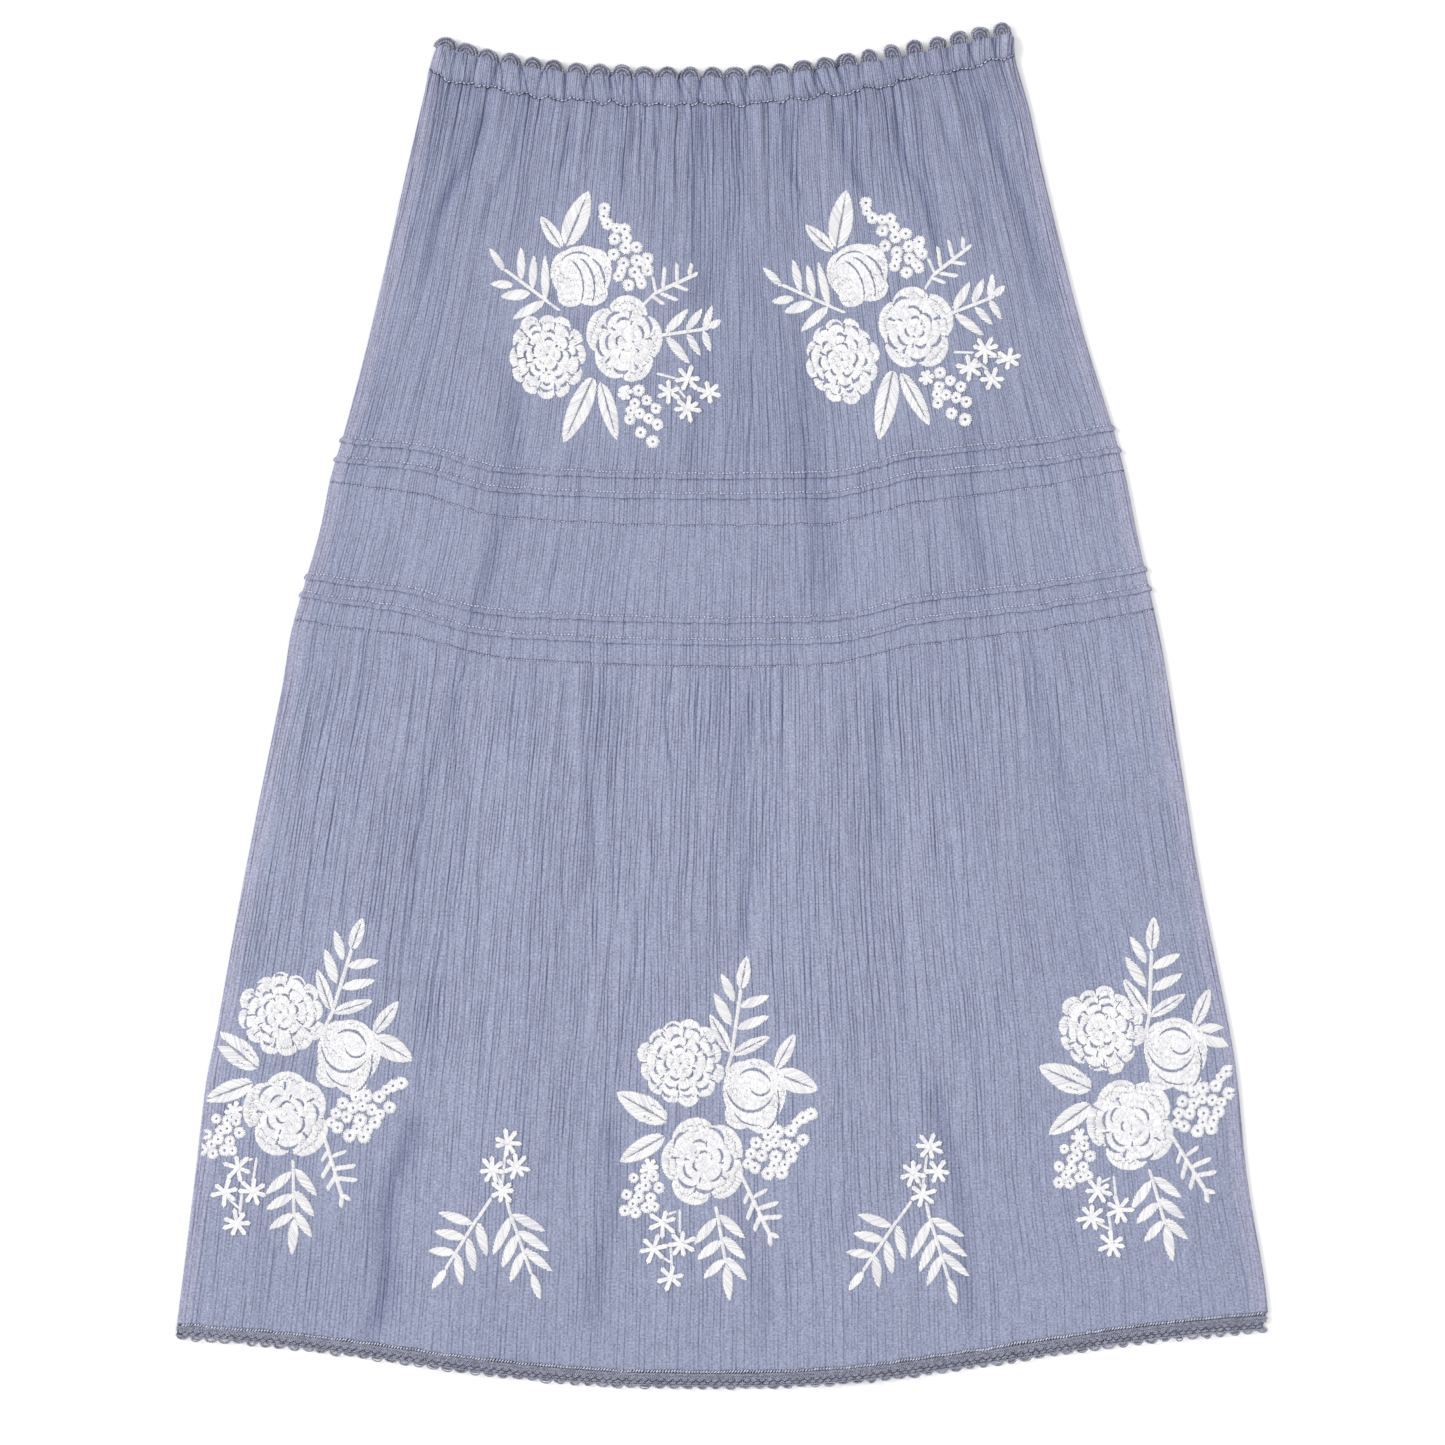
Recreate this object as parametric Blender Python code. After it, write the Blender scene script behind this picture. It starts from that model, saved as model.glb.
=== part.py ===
"""Embroidered maxi skirt of crinkled cotton gauze, laid flat on its back.

Metres, +Z up. The waist points to +Y, the front faces up and the back lies on the surface at z = 0.
The origin is under the middle of the skirt's outline. Each cloth piece is a closed wall, lofted
through one ring of points for each section, and its folds, gathers and pin tucks are worked out
from the sizes and tables below. The tables are in millimetres.
"""

import math
from collections import namedtuple

import bmesh
import bpy

MM = 0.001

# Wall and seam sizes
CLOTH = 1.6 * MM
SEAM_GAP = 0.3 * MM
FRONT_BASE = CLOTH + SEAM_GAP
CASING_BACK_THICKNESS = 2.6 * MM
CASING_BASE = CASING_BACK_THICKNESS + SEAM_GAP
CASING_WALL = 1.5 * MM
CASING_PUFF = 3.4 * MM
CASING_EASE = 45 * MM
CROCHET = 1.4 * MM
CROCHET_DOME = 0.9 * MM
CROCHET_LIFT = 0.7 * MM
LACE = 1.2 * MM

# Gathers under the waist casing and under the lowest seam
GATHERS = 28
WAIST_GATHER_HEIGHT = 2.4 * MM
TIER_GATHER_HEIGHT = 1.3 * MM
GATHER_UNEVENNESS = 0.3

# Crochet fans round the waist, one to each puff of the casing, and picots round the hem
FANS = 26
FAN_HEIGHT = 8.4 * MM
FAN_VALLEY = 2.2 * MM
PICOTS = 87
PICOT_DEPTH = 2.2 * MM

# Columns across the insides of the front walls and across the back walls
PLAIN_COLUMNS = 28

# Side edges of the laid skirt: how far left and right of the origin they stand at each height
Side = namedtuple("Side", "height left right")
SIDES = (
    Side(450, 190.5, 194.5),
    Side(433, 195.0, 195.5),
    Side(400, 202.5, 204.8),
    Side(353, 213.3, 214.8),
    Side(252, 236.1, 240.3),
    Side(185, 253.5, 261.0),
    Side(152, 263.2, 269.7),
    Side(118, 270.0, 276.4),
    Side(51, 289.0, 291.2),
    Side(18, 294.4, 297.2),
    Side(-116, 321.2, 318.7),
    Side(-217, 339.3, 339.0),
    Side(-250, 346.0, 344.1),
    Side(-317, 354.0, 350.8),
    Side(-384, 362.1, 362.2),
    Side(-425, 367.4, 366.4),
)

# Lines across the skirt. middle is the line's height at the middle, from where it climbs to the side
# edges by left_rise and right_rise. It climbs step of that over the fold on each side, which starts
# at left_fold and right_fold and takes bend, as shares of the half width. The rest follows a curve
# whose power is left_bow and right_bow.
Line = namedtuple("Line", "middle left_rise left_bow right_rise right_bow step left_fold right_fold bend")
CASING_TOP = Line(420.8, 22.5, 2.8, 31.5, 1.5, 0.0, 0.56, 0.25, 0.25)
CASING_STITCH = Line(402.7, 21.0, 2.8, 33.0, 1.5, 0.0, 0.56, 0.25, 0.25)
TUCK_A = Line(155.8, 24.8, 2.1, 32.8, 2.1, 10.0, 0.56, 0.25, 0.25)
TUCK_B = Line(142.4, 25.5, 2.1, 31.5, 2.1, 10.0, 0.56, 0.25, 0.25)
SEAM_C = Line(120.9, 29.8, 2.0, 37.2, 2.0, 10.0, 0.55, 0.24, 0.25)
TUCK_D = Line(59.3, 29.8, 2.0, 34.8, 2.0, 10.0, 0.54, 0.24, 0.25)
TUCK_E = Line(44.6, 32.5, 2.0, 36.5, 2.0, 10.0, 0.54, 0.24, 0.25)
SEAM_F = Line(26.5, 31.5, 1.9, 38.2, 1.9, 9.0, 0.50, 0.22, 0.25)
HEM = Line(-444.9, 31.8, 1.3, 39.2, 1.3, 22.0, 0.15, 0.10, 0.85)
LACE_EDGE = Line(-458.0, 34.6, 1.3, 38.2, 1.3, 22.0, 0.15, 0.10, 0.85)

# Sections of the tiers: the share of the way down from the upper line to the lower one, and how full
# the gathers are there
Section = namedtuple("Section", "share gather")
CASING_SECTIONS = (
    Section(0.00, 0.15),
    Section(0.15, 0.75),
    Section(0.50, 1.00),
    Section(0.85, 0.70),
    Section(1.00, 0.25),
)
UPPER_SECTIONS = (
    Section(0.00, 0.45),
    Section(0.02, 1.00),
    Section(0.06, 0.85),
    Section(0.13, 0.50),
    Section(0.24, 0.20),
    Section(0.38, 0.06),
    Section(0.55, 0.00),
    Section(0.72, 0.00),
    Section(0.88, 0.00),
)
MIDDLE_SECTIONS = (
    Section(0.00, 0.0),
    Section(0.30, 0.0),
    Section(0.60, 0.0),
    Section(0.85, 0.0),
)
LOWER_SECTIONS = (
    Section(0.00, 0.40),
    Section(0.012, 1.00),
    Section(0.035, 0.80),
    Section(0.07, 0.45),
    Section(0.13, 0.15),
    Section(0.21, 0.00),
    Section(0.30, 0.00),
    Section(0.40, 0.00),
    Section(0.50, 0.00),
    Section(0.60, 0.00),
    Section(0.70, 0.00),
    Section(0.80, 0.00),
    Section(0.90, 0.00),
    Section(1.00, 0.00),
)
BACK_SHARES = (0.0, 0.25, 0.5, 0.75, 1.0)

# A pin tuck: how far below its stitching each of its rows lies, how much it stands off the cloth,
# and how much its end stands out past the side edge
TuckRow = namedtuple("TuckRow", "drop raised stand_out")
TUCK = (
    TuckRow(0.0, -0.2, 0.2),
    TuckRow(0.9, 1.3, 1.4),
    TuckRow(2.9, 1.5, 1.8),
    TuckRow(3.7, 0.0, 0.2),
)

# Soft lengthwise folds of the front: where each runs, as shares of the half width at its upper and
# lower end, the heights between which it runs, its breadth and how much it stands up
Fold = namedtuple("Fold", "top_across bottom_across top bottom breadth rise")
FOLDS = (
    Fold(-0.68, -0.63, 260, -20, 26, 2.2),
    Fold(0.43, 0.40, 270, -10, 28, 2.4),
    Fold(-0.34, -0.20, 400, 150, 26, 1.5),
    Fold(0.08, 0.16, 390, 90, 30, 1.7),
    Fold(0.66, 0.62, 380, 140, 26, 1.5),
    Fold(-0.84, -0.78, 390, 190, 24, 1.3),
    Fold(-0.80, -0.72, 30, -270, 32, 2.0),
    Fold(-0.36, -0.48, 20, -540, 36, 2.6),
    Fold(-0.12, -0.08, -10, -350, 34, 1.8),
    Fold(0.20, 0.26, 20, -540, 38, 2.4),
    Fold(0.54, 0.58, 0, -310, 32, 2.0),
    Fold(0.84, 0.87, -60, -540, 30, 2.2),
    Fold(-0.88, -0.90, -150, -540, 26, 2.0),
)
FOLD_FADE = 70 * MM

# How a wall rounds off at its side edges: share of the half width, and share of the wall's height
Roll = namedtuple("Roll", "across fullness")
EDGE_ROLL = (
    Roll(1.0, 0.35),
    Roll(0.9975, 0.70),
    Roll(0.992, 0.92),
)

# Faces that meet at more than this angle keep a sharp edge between them
SHARP_ANGLE = math.radians(50)

# One point column across a wall: its share of the half width, how full the wall is there and how
# high on a gather's crest it stands
Column = namedtuple("Column", "across fullness crest")

# Colours as sRGB bytes, and how rough each material looks
Look = namedtuple("Look", "red green blue roughness")
GAUZE = Look(150, 155, 179, 0.9)
CASING_GAUZE = Look(144, 149, 171, 0.9)
CROCHET_COTTON = Look(136, 138, 154, 0.85)
LACE_COTTON = Look(134, 135, 154, 0.85)


def clear_scene():
    """Remove whatever the scene holds."""
    for item in list(bpy.data.objects):
        bpy.data.objects.remove(item, do_unlink=True)


def linear(byte):
    """The linear value of one sRGB colour byte."""
    value = byte / 255
    if value <= 0.04045:
        return value / 12.92
    return ((value + 0.055) / 1.055) ** 2.4


def make_material(name, look):
    """A plain cloth material of the given look."""
    material = bpy.data.materials.new(name)
    material.use_nodes = True
    shader = material.node_tree.nodes["Principled BSDF"]
    colour = (linear(look.red), linear(look.green), linear(look.blue), 1.0)
    shader.inputs["Base Color"].default_value = colour
    shader.inputs["Roughness"].default_value = look.roughness
    shader.inputs["Metallic"].default_value = 0.0
    material.diffuse_color = colour
    return material


def ease(share):
    """A smooth climb from 0 to 1 as the share goes from 0 to 1."""
    held = min(max(share, 0.0), 1.0)
    return held * held * (3 - 2 * held)


def side_at(height):
    """The left and right edges (x) of the laid skirt at a height (y), read off a smooth curve."""
    level = height / MM
    rows = SIDES
    index = 0
    while index < len(rows) - 2 and level < rows[index + 1].height:
        index += 1
    before = rows[max(index - 1, 0)]
    upper = rows[index]
    lower = rows[index + 1]
    after = rows[min(index + 2, len(rows) - 1)]
    span = lower.height - upper.height
    share = (level - upper.height) / span
    edges = []
    for edge in ("left", "right"):
        first = getattr(upper, edge)
        last = getattr(lower, edge)
        leave = (last - getattr(before, edge)) / (lower.height - before.height) * span
        arrive = (getattr(after, edge) - first) / (after.height - upper.height) * span
        curve = first * (2 * share**3 - 3 * share**2 + 1)
        curve += last * (3 * share**2 - 2 * share**3)
        curve += leave * (share**3 - 2 * share**2 + share)
        curve += arrive * (share**3 - share**2)
        edges.append(curve * MM)
    return -edges[0], edges[1]


def line_height(line, across):
    """The height (y) of a line at a share across the skirt, -1 at its left edge and 1 at its right."""
    if across < 0:
        rise, bow, fold = line.left_rise, line.left_bow, line.left_fold
    else:
        rise, bow, fold = line.right_rise, line.right_bow, line.right_fold
    climb = line.step * ease((abs(across) - fold) / line.bend)
    climb += (rise - line.step) * abs(across) ** bow
    return (line.middle + climb) * MM


def between(upper, lower, share):
    """The line that lies a share of the way down from one line to another."""
    return Line(*(high + (low - high) * share for high, low in zip(upper, lower)))


def lowered(line, drop):
    """The line moved down by a drop in metres."""
    return line._replace(middle=line.middle - drop / MM)


def place(line, across, stand_out=0.0):
    """The point (x, y) of a line at a share across, with its ends stood out past the side edges."""
    height = line_height(line, across)
    left, right = side_at(height)
    left -= stand_out
    right += stand_out
    return left + (right - left) * (across + 1) / 2, height


def fold_rise(across, height):
    """How much the soft folds lift the front at a place."""
    left, right = side_at(height)
    half_width = (right - left) / 2
    rise = 0.0
    for fold in FOLDS:
        share = (fold.top * MM - height) / ((fold.top - fold.bottom) * MM)
        middle = fold.top_across + (fold.bottom_across - fold.top_across) * share
        away = (across - middle) * half_width / (fold.breadth * MM)
        fade = ease((fold.top * MM - height) / FOLD_FADE) * ease((height - fold.bottom * MM) / FOLD_FADE)
        rise += fold.rise * MM * math.exp(-away * away) * fade
    return rise


def edge_columns(sign):
    """The rounding columns at one side edge, from the edge inward."""
    return [Column(sign * roll.across, roll.fullness, 0.0) for roll in EDGE_ROLL]


def columns_with(crests, count, unevenness):
    """Columns across a wall whose crests repeat, more or less evenly, with rounded side edges."""
    pitch = 2 / (count * len(crests))
    columns = edge_columns(-1)
    for index in range(1, count * len(crests)):
        shift = unevenness * pitch * math.sin(2.1 * index)
        height = 1 + unevenness * math.sin(1.7 * index)
        crest = crests[index % len(crests)]
        columns.append(Column(-1 + index * pitch + shift, 1.0, crest * height))
    return columns + list(reversed(edge_columns(1)))


def ring(line, columns, inner_at, outer_at, stand_out=0.0):
    """The outer and inner points of one section of a wall."""
    outer = []
    for column in columns:
        x, y = place(line, column.across, stand_out)
        outer.append((x, y, outer_at(column, y)))
    inner = []
    for index in range(PLAIN_COLUMNS, -1, -1):
        across = -1 + 2 * index / PLAIN_COLUMNS
        x, y = place(line, across, stand_out)
        inner.append((x, y, inner_at(across, y)))
    return outer, inner


def make_wall(name, rings, look):
    """One closed wall, lofted through its rings and closed at both ends."""
    mesh = bmesh.new()
    loops = []
    for outer, inner in rings:
        outer_points = [mesh.verts.new(point) for point in outer]
        inner_points = [mesh.verts.new(point) for point in inner]
        points = outer_points + inner_points
        edges = [mesh.edges.new(pair) for pair in zip(points, points[1:] + points[:1])]
        loops.append((edges, len(outer) - 1))
    for (upper, _), (lower, _) in zip(loops, loops[1:]):
        bmesh.ops.bridge_loops(mesh, edges=upper + lower)
    for edges, outer_count in (loops[0], loops[-1]):
        bmesh.ops.bridge_loops(mesh, edges=edges[:outer_count] + edges[outer_count + 1:-1])
    bmesh.ops.recalc_face_normals(mesh, faces=mesh.faces)
    data = bpy.data.meshes.new(name)
    mesh.to_mesh(data)
    mesh.free()
    data.shade_smooth()
    data.set_sharp_from_angle(angle=SHARP_ANGLE)
    data.materials.append(make_material(name + "_cloth", look))
    wall = bpy.data.objects.new(name, data)
    bpy.context.scene.collection.objects.link(wall)
    return wall


def front_inner(across, height):
    """The inside of the front: it rests on the back, lifts with the folds and climbs to the casing."""
    climb = ease(1 - (line_height(CASING_STITCH, across) - height) / CASING_EASE)
    return FRONT_BASE + fold_rise(across, height) + climb * (CASING_BASE - FRONT_BASE - SEAM_GAP)


def front_ring(line, columns, gather=0.0, raised=0.0, stand_out=0.0):
    """A section of the front, with its gathers or a pin tuck raised in its outer points."""

    def outer_at(column, height):
        wall = (CLOTH + raised) * column.fullness + gather * column.crest
        return front_inner(column.across, height) + wall

    return ring(line, columns, front_inner, outer_at, stand_out)


def tuck_rings(line, columns):
    """The sections of one pin tuck, from its stitching to just below its fold."""
    rings = []
    for row in TUCK:
        tuck_line = lowered(line, row.drop * MM)
        rings.append(front_ring(tuck_line, columns, 0.0, row.raised * MM, row.stand_out * MM))
    return rings


def back_rings(upper, lower, thickness):
    """The sections of a plain back piece, whose underside lies flat and rounds up at the sides."""
    columns = columns_with((0.0,), PLAIN_COLUMNS, 0.0)

    def inner_at(across, height):
        return thickness

    def outer_at(column, height):
        return thickness * (1 - column.fullness)

    rings = []
    for share in BACK_SHARES:
        line = between(upper, lower, share)
        rings.append(ring(line, columns, inner_at, outer_at))
    return rings


def make_casing():
    """The waist casing round its elastic: a puffed front and a back that lies flat."""
    columns = columns_with((0.0, 0.8, 1.0, 0.8), FANS, 0.0)
    upper = lowered(CASING_TOP, SEAM_GAP)
    lower = lowered(CASING_STITCH, -SEAM_GAP / 2)

    def inner_at(across, height):
        return CASING_BASE

    rings = []
    for section in CASING_SECTIONS:

        def outer_at(column, height):
            puff = CASING_PUFF * section.gather * (0.45 + 0.55 * column.crest)
            return CASING_BASE + (CASING_WALL + puff) * column.fullness

        line = between(upper, lower, section.share)
        rings.append(ring(line, columns, inner_at, outer_at))
    make_wall("casing_front", rings, CASING_GAUZE)
    make_wall("casing_back", back_rings(upper, lower, CASING_BACK_THICKNESS), CASING_GAUZE)


def make_edging():
    """The crochet edging: a row of fans along the top of the casing, front and back."""
    crests = (0.0, 0.60, 0.90, 1.0, 0.90, 0.60)
    columns = [
        Column(-1 + 2 * index / (FANS * len(crests)), 1.0, crests[index % len(crests)])
        for index in range(FANS * len(crests) + 1)
    ]
    levels = (("front", CASING_BASE + CROCHET_LIFT, 1.0), ("back", 0.0, 0.0))
    for side, base, dome in levels:
        upper = []
        upper_inner = []
        lower = []
        lower_inner = []
        for column in columns:
            x, y = place(CASING_TOP, column.across)
            tip = FAN_VALLEY + (FAN_HEIGHT - FAN_VALLEY) * column.crest
            top = base + CROCHET + dome * CROCHET_DOME * column.crest
            upper.append((x, y + tip, base + CROCHET))
            upper_inner.append((x, y + tip, base))
            lower.append((x, y, top))
            lower_inner.append((x, y, base))
        rings = [(upper, upper_inner[::-1]), (lower, lower_inner[::-1])]
        make_wall("waist_edging_" + side, rings, CROCHET_COTTON)


def make_upper_tier():
    """The upper tier, gathered under the casing, with two pin tucks above its lower seam."""
    columns = columns_with((0.0, 1.0), GATHERS, GATHER_UNEVENNESS)
    top = lowered(CASING_STITCH, SEAM_GAP / 2)
    bottom = lowered(SEAM_C, -SEAM_GAP / 2)
    rings = []
    for section in UPPER_SECTIONS:
        line = between(top, TUCK_A, section.share)
        rings.append(front_ring(line, columns, section.gather * WAIST_GATHER_HEIGHT))
    rings += tuck_rings(TUCK_A, columns)
    rings += tuck_rings(TUCK_B, columns)
    rings.append(front_ring(between(TUCK_B, bottom, 0.6), columns))
    rings.append(front_ring(bottom, columns))
    make_wall("upper_front", rings, GAUZE)
    make_wall("upper_back", back_rings(top, bottom, CLOTH), GAUZE)


def make_middle_tier():
    """The ungathered middle band, with two pin tucks above its lower seam."""
    columns = columns_with((0.0, 1.0), GATHERS, GATHER_UNEVENNESS)
    top = lowered(SEAM_C, SEAM_GAP / 2)
    bottom = lowered(SEAM_F, -SEAM_GAP / 2)
    rings = [front_ring(between(top, TUCK_D, section.share), columns) for section in MIDDLE_SECTIONS]
    rings += tuck_rings(TUCK_D, columns)
    rings += tuck_rings(TUCK_E, columns)
    rings.append(front_ring(between(TUCK_E, bottom, 0.6), columns))
    rings.append(front_ring(bottom, columns))
    make_wall("middle_front", rings, GAUZE)
    make_wall("middle_back", back_rings(top, bottom, CLOTH), GAUZE)


def make_lower_tier():
    """The long lower tier, lightly gathered under its seam and fallen into soft folds at the hem."""
    columns = columns_with((0.0, 1.0), GATHERS, GATHER_UNEVENNESS)
    top = lowered(SEAM_F, SEAM_GAP / 2)
    bottom = lowered(HEM, -SEAM_GAP / 2)
    rings = []
    for section in LOWER_SECTIONS:
        line = between(top, bottom, section.share)
        rings.append(front_ring(line, columns, section.gather * TIER_GATHER_HEIGHT))
    make_wall("lower_front", rings, GAUZE)
    make_wall("lower_back", back_rings(top, bottom, CLOTH), GAUZE)


def make_hem_lace():
    """The crochet lace along the hem, with a picot edge, front and back."""
    top = lowered(HEM, SEAM_GAP / 2)
    shares = [-1 + index / PICOTS for index in range(2 * PICOTS + 1)]
    for side in ("front", "back"):
        rings = []
        for line, depth in ((top, 0.0), (LACE_EDGE, PICOT_DEPTH)):
            outer = []
            inner = []
            for index, across in enumerate(shares):
                x, y = place(line, across)
                base = 0.0
                if side == "front":
                    base = front_inner(across, y)
                point_y = y - depth * (index % 2)
                outer.append((x, point_y, base + LACE))
                inner.append((x, point_y, base))
            rings.append((outer, inner[::-1]))
        make_wall("hem_lace_" + side, rings, LACE_COTTON)


def main():
    """Make the skirt, from its waist to its hem."""
    clear_scene()
    make_edging()
    make_casing()
    make_upper_tier()
    make_middle_tier()
    make_lower_tier()
    make_hem_lace()


main()
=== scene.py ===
import math
from collections import namedtuple

import bmesh
import bpy
import numpy as np
from bpy.props import FloatProperty, FloatVectorProperty, IntProperty, PointerProperty
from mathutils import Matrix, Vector


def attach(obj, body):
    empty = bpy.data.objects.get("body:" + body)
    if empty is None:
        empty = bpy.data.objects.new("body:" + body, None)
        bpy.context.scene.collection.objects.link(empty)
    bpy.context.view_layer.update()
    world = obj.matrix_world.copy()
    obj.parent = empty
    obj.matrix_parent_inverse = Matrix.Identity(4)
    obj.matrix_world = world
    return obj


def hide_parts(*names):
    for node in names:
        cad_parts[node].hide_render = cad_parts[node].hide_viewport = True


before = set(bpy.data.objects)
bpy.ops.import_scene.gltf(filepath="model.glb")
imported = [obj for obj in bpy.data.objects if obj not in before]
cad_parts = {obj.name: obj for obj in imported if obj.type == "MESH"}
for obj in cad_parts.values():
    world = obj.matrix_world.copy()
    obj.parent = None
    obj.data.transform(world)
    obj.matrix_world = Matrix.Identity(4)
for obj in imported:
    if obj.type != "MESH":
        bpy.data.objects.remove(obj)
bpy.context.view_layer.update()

bl_info = {
    "name": "Embroidered maxi skirt",
    "version": (1, 0, 0),
    "blender": (4, 5, 0),
    "location": "3D View > Sidebar > Skirt",
    "description": "Gauze, crochet, stitching and embroidery on the laid skirt's model",
    "category": "Add Mesh",
}

MM = 0.001

# Wall sizes of the model that the cloth follows
CLOTH = 1.6 * MM
FRONT_BASE = 1.9 * MM
CASING_BASE = 2.9 * MM
CASING_WALL = 1.5 * MM
CASING_PUFF = 3.4 * MM
CASING_EASE = 45 * MM
CROCHET_LEVEL = 3.6 * MM
CROCHET = 1.4 * MM
SEAM_GAP = 0.3 * MM

# Gathers and fans, as many as the model has
GATHERS = 28
WAIST_GATHER_HEIGHT = 2.4 * MM
TIER_GATHER_HEIGHT = 1.3 * MM
GATHER_UNEVENNESS = 0.3
FANS = 26
FAN_HEIGHT = 8.4 * MM
FAN_HALF_WIDTH = 6.9 * MM

# The front and the back roll into each other at the sides: the height at which they meet, and how
# far the roll reaches in as a share of the half width
ROLL_FLOOR = 1.75 * MM
ROLL_SHARE = 0.006
ROLL_COLUMNS = 5

# The strip along each side that is painted paler and greyer, as painted light and shade of the rolled side
# folds, and how far it fades out
SIDE_STRIP = 7 * MM
SIDE_STRIP_FADE = 6 * MM

# Half the width that the crinkle is laid out on before it fans with the skirt, in mm
CRINKLE_HALF_WIDTH = 300.0

# How strong the crinkle is at each height in mm
CRINKLE_STRENGTH = (
    (-440, 0.35), (-330, 0.55), (-200, 0.85), (0, 0.90), (35, 0.55), (110, 0.50), (160, 0.60),
    (300, 0.65), (400, 0.85),
)


def named(kind, *rows):
    """A table whose rows have the named columns of a kind."""
    return tuple(kind(*row) for row in rows)


# Side edges: how far left and right of the origin they stand at each height, in mm
Side = namedtuple("Side", "height left right")
SIDES = named(
    Side,
    (450, 190.5, 194.5), (433, 195.0, 195.5), (400, 202.5, 204.8), (353, 213.3, 214.8),
    (252, 236.1, 240.3), (185, 253.5, 261.0), (152, 263.2, 269.7), (118, 270.0, 276.4),
    (51, 289.0, 291.2), (18, 294.4, 297.2), (-116, 321.2, 318.7), (-217, 339.3, 339.0),
    (-250, 346.0, 344.1), (-317, 354.0, 350.8), (-384, 362.1, 362.2), (-425, 367.4, 366.4),
)
SIDE_TABLE = np.array(SIDES)

# Lines across the skirt, in mm: height at the middle, climb to each side and its curve, and a step
# over the fold on each side
Line = namedtuple("Line", "middle left_rise left_bow right_rise right_bow step left_fold right_fold bend")
CASING_TOP = Line(420.8, 22.5, 2.8, 31.5, 1.5, 0.0, 0.56, 0.25, 0.25)
CASING_STITCH = Line(402.7, 21.0, 2.8, 33.0, 1.5, 0.0, 0.56, 0.25, 0.25)
TUCK_A = Line(155.8, 24.8, 2.1, 32.8, 2.1, 10.0, 0.56, 0.25, 0.25)
TUCK_B = Line(142.4, 25.5, 2.1, 31.5, 2.1, 10.0, 0.56, 0.25, 0.25)
SEAM_C = Line(120.9, 29.8, 2.0, 37.2, 2.0, 10.0, 0.55, 0.24, 0.25)
TUCK_D = Line(59.3, 29.8, 2.0, 34.8, 2.0, 10.0, 0.54, 0.24, 0.25)
TUCK_E = Line(44.6, 32.5, 2.0, 36.5, 2.0, 10.0, 0.54, 0.24, 0.25)
SEAM_F = Line(26.5, 31.5, 1.9, 38.2, 1.9, 9.0, 0.50, 0.22, 0.25)
HEM = Line(-444.9, 31.8, 1.3, 39.2, 1.3, 22.0, 0.15, 0.10, 0.85)
LACE_EDGE = Line(-458.0, 34.6, 1.3, 38.2, 1.3, 22.0, 0.15, 0.10, 0.85)

# The three tiers from the top down: their seams and pin tucks, rows and columns of the front's cloth
# and the spacing of its crinkle in mm, rows and columns of the back's cloth, flat size and flat area
Tier = namedtuple("Tier", "name top tucks bottom rows columns pitch back_rows back_columns flat area")
TIERS = (
    Tier(
        "upper", CASING_STITCH, (TUCK_A, TUCK_B), SEAM_C,
        (38, 3, 4), 900, 4.4, (12, 2, 3), 260, (0.56, 0.30), 0.150,
    ),
    Tier(
        "middle", SEAM_C, (TUCK_D, TUCK_E), SEAM_F,
        (11, 3, 3), 900, 3.5, (5, 2, 2), 280, (0.59, 0.11), 0.062,
    ),
    Tier("lower", SEAM_F, (), HEM, (70,), 960, 3.1, (26,), 340, (0.74, 0.48), 0.335),
)

# How far short of its seams a tier's cloth stops, and how far from its seams and pin tucks the plain
# cloth starts, in mm
TIER_GAP = 0.05
BELOW_SEAM = 7.0
ABOVE_SEAM = 5.6
ABOVE_TUCK = 2.4
BELOW_TUCK = 5.6

# How full the gathers are at each share of the way down a tier
UPPER_GATHERS = ((0.0, 0.45), (0.02, 1.0), (0.06, 0.85), (0.13, 0.5), (0.24, 0.2), (0.38, 0.06), (0.55, 0.0))
LOWER_GATHERS = ((0.0, 0.4), (0.012, 1.0), (0.035, 0.8), (0.07, 0.45), (0.13, 0.15), (0.21, 0.0))

# Soft lengthwise folds: where each starts and ends as shares of the half width, the heights between
# which it runs, its breadth and its rise in mm
Fold = namedtuple("Fold", "top_across bottom_across top bottom breadth size")
FOLDS = named(
    Fold,
    (-0.68, -0.63, 260, -20, 26, 2.2), (0.43, 0.40, 270, -10, 28, 2.4),
    (-0.34, -0.20, 400, 150, 26, 1.5), (0.08, 0.16, 390, 90, 30, 1.7),
    (0.66, 0.62, 380, 140, 26, 1.5), (-0.84, -0.78, 390, 190, 24, 1.3),
    (-0.80, -0.72, 30, -270, 32, 2.0), (-0.36, -0.48, 20, -540, 36, 2.6),
    (-0.12, -0.08, -10, -350, 34, 1.8), (0.20, 0.26, 20, -540, 38, 2.4),
    (0.54, 0.58, 0, -310, 32, 2.0), (0.84, 0.87, -60, -540, 30, 2.2),
    (-0.88, -0.90, -150, -540, 26, 2.0),
)
FOLD_FADE = 70 * MM
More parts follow.
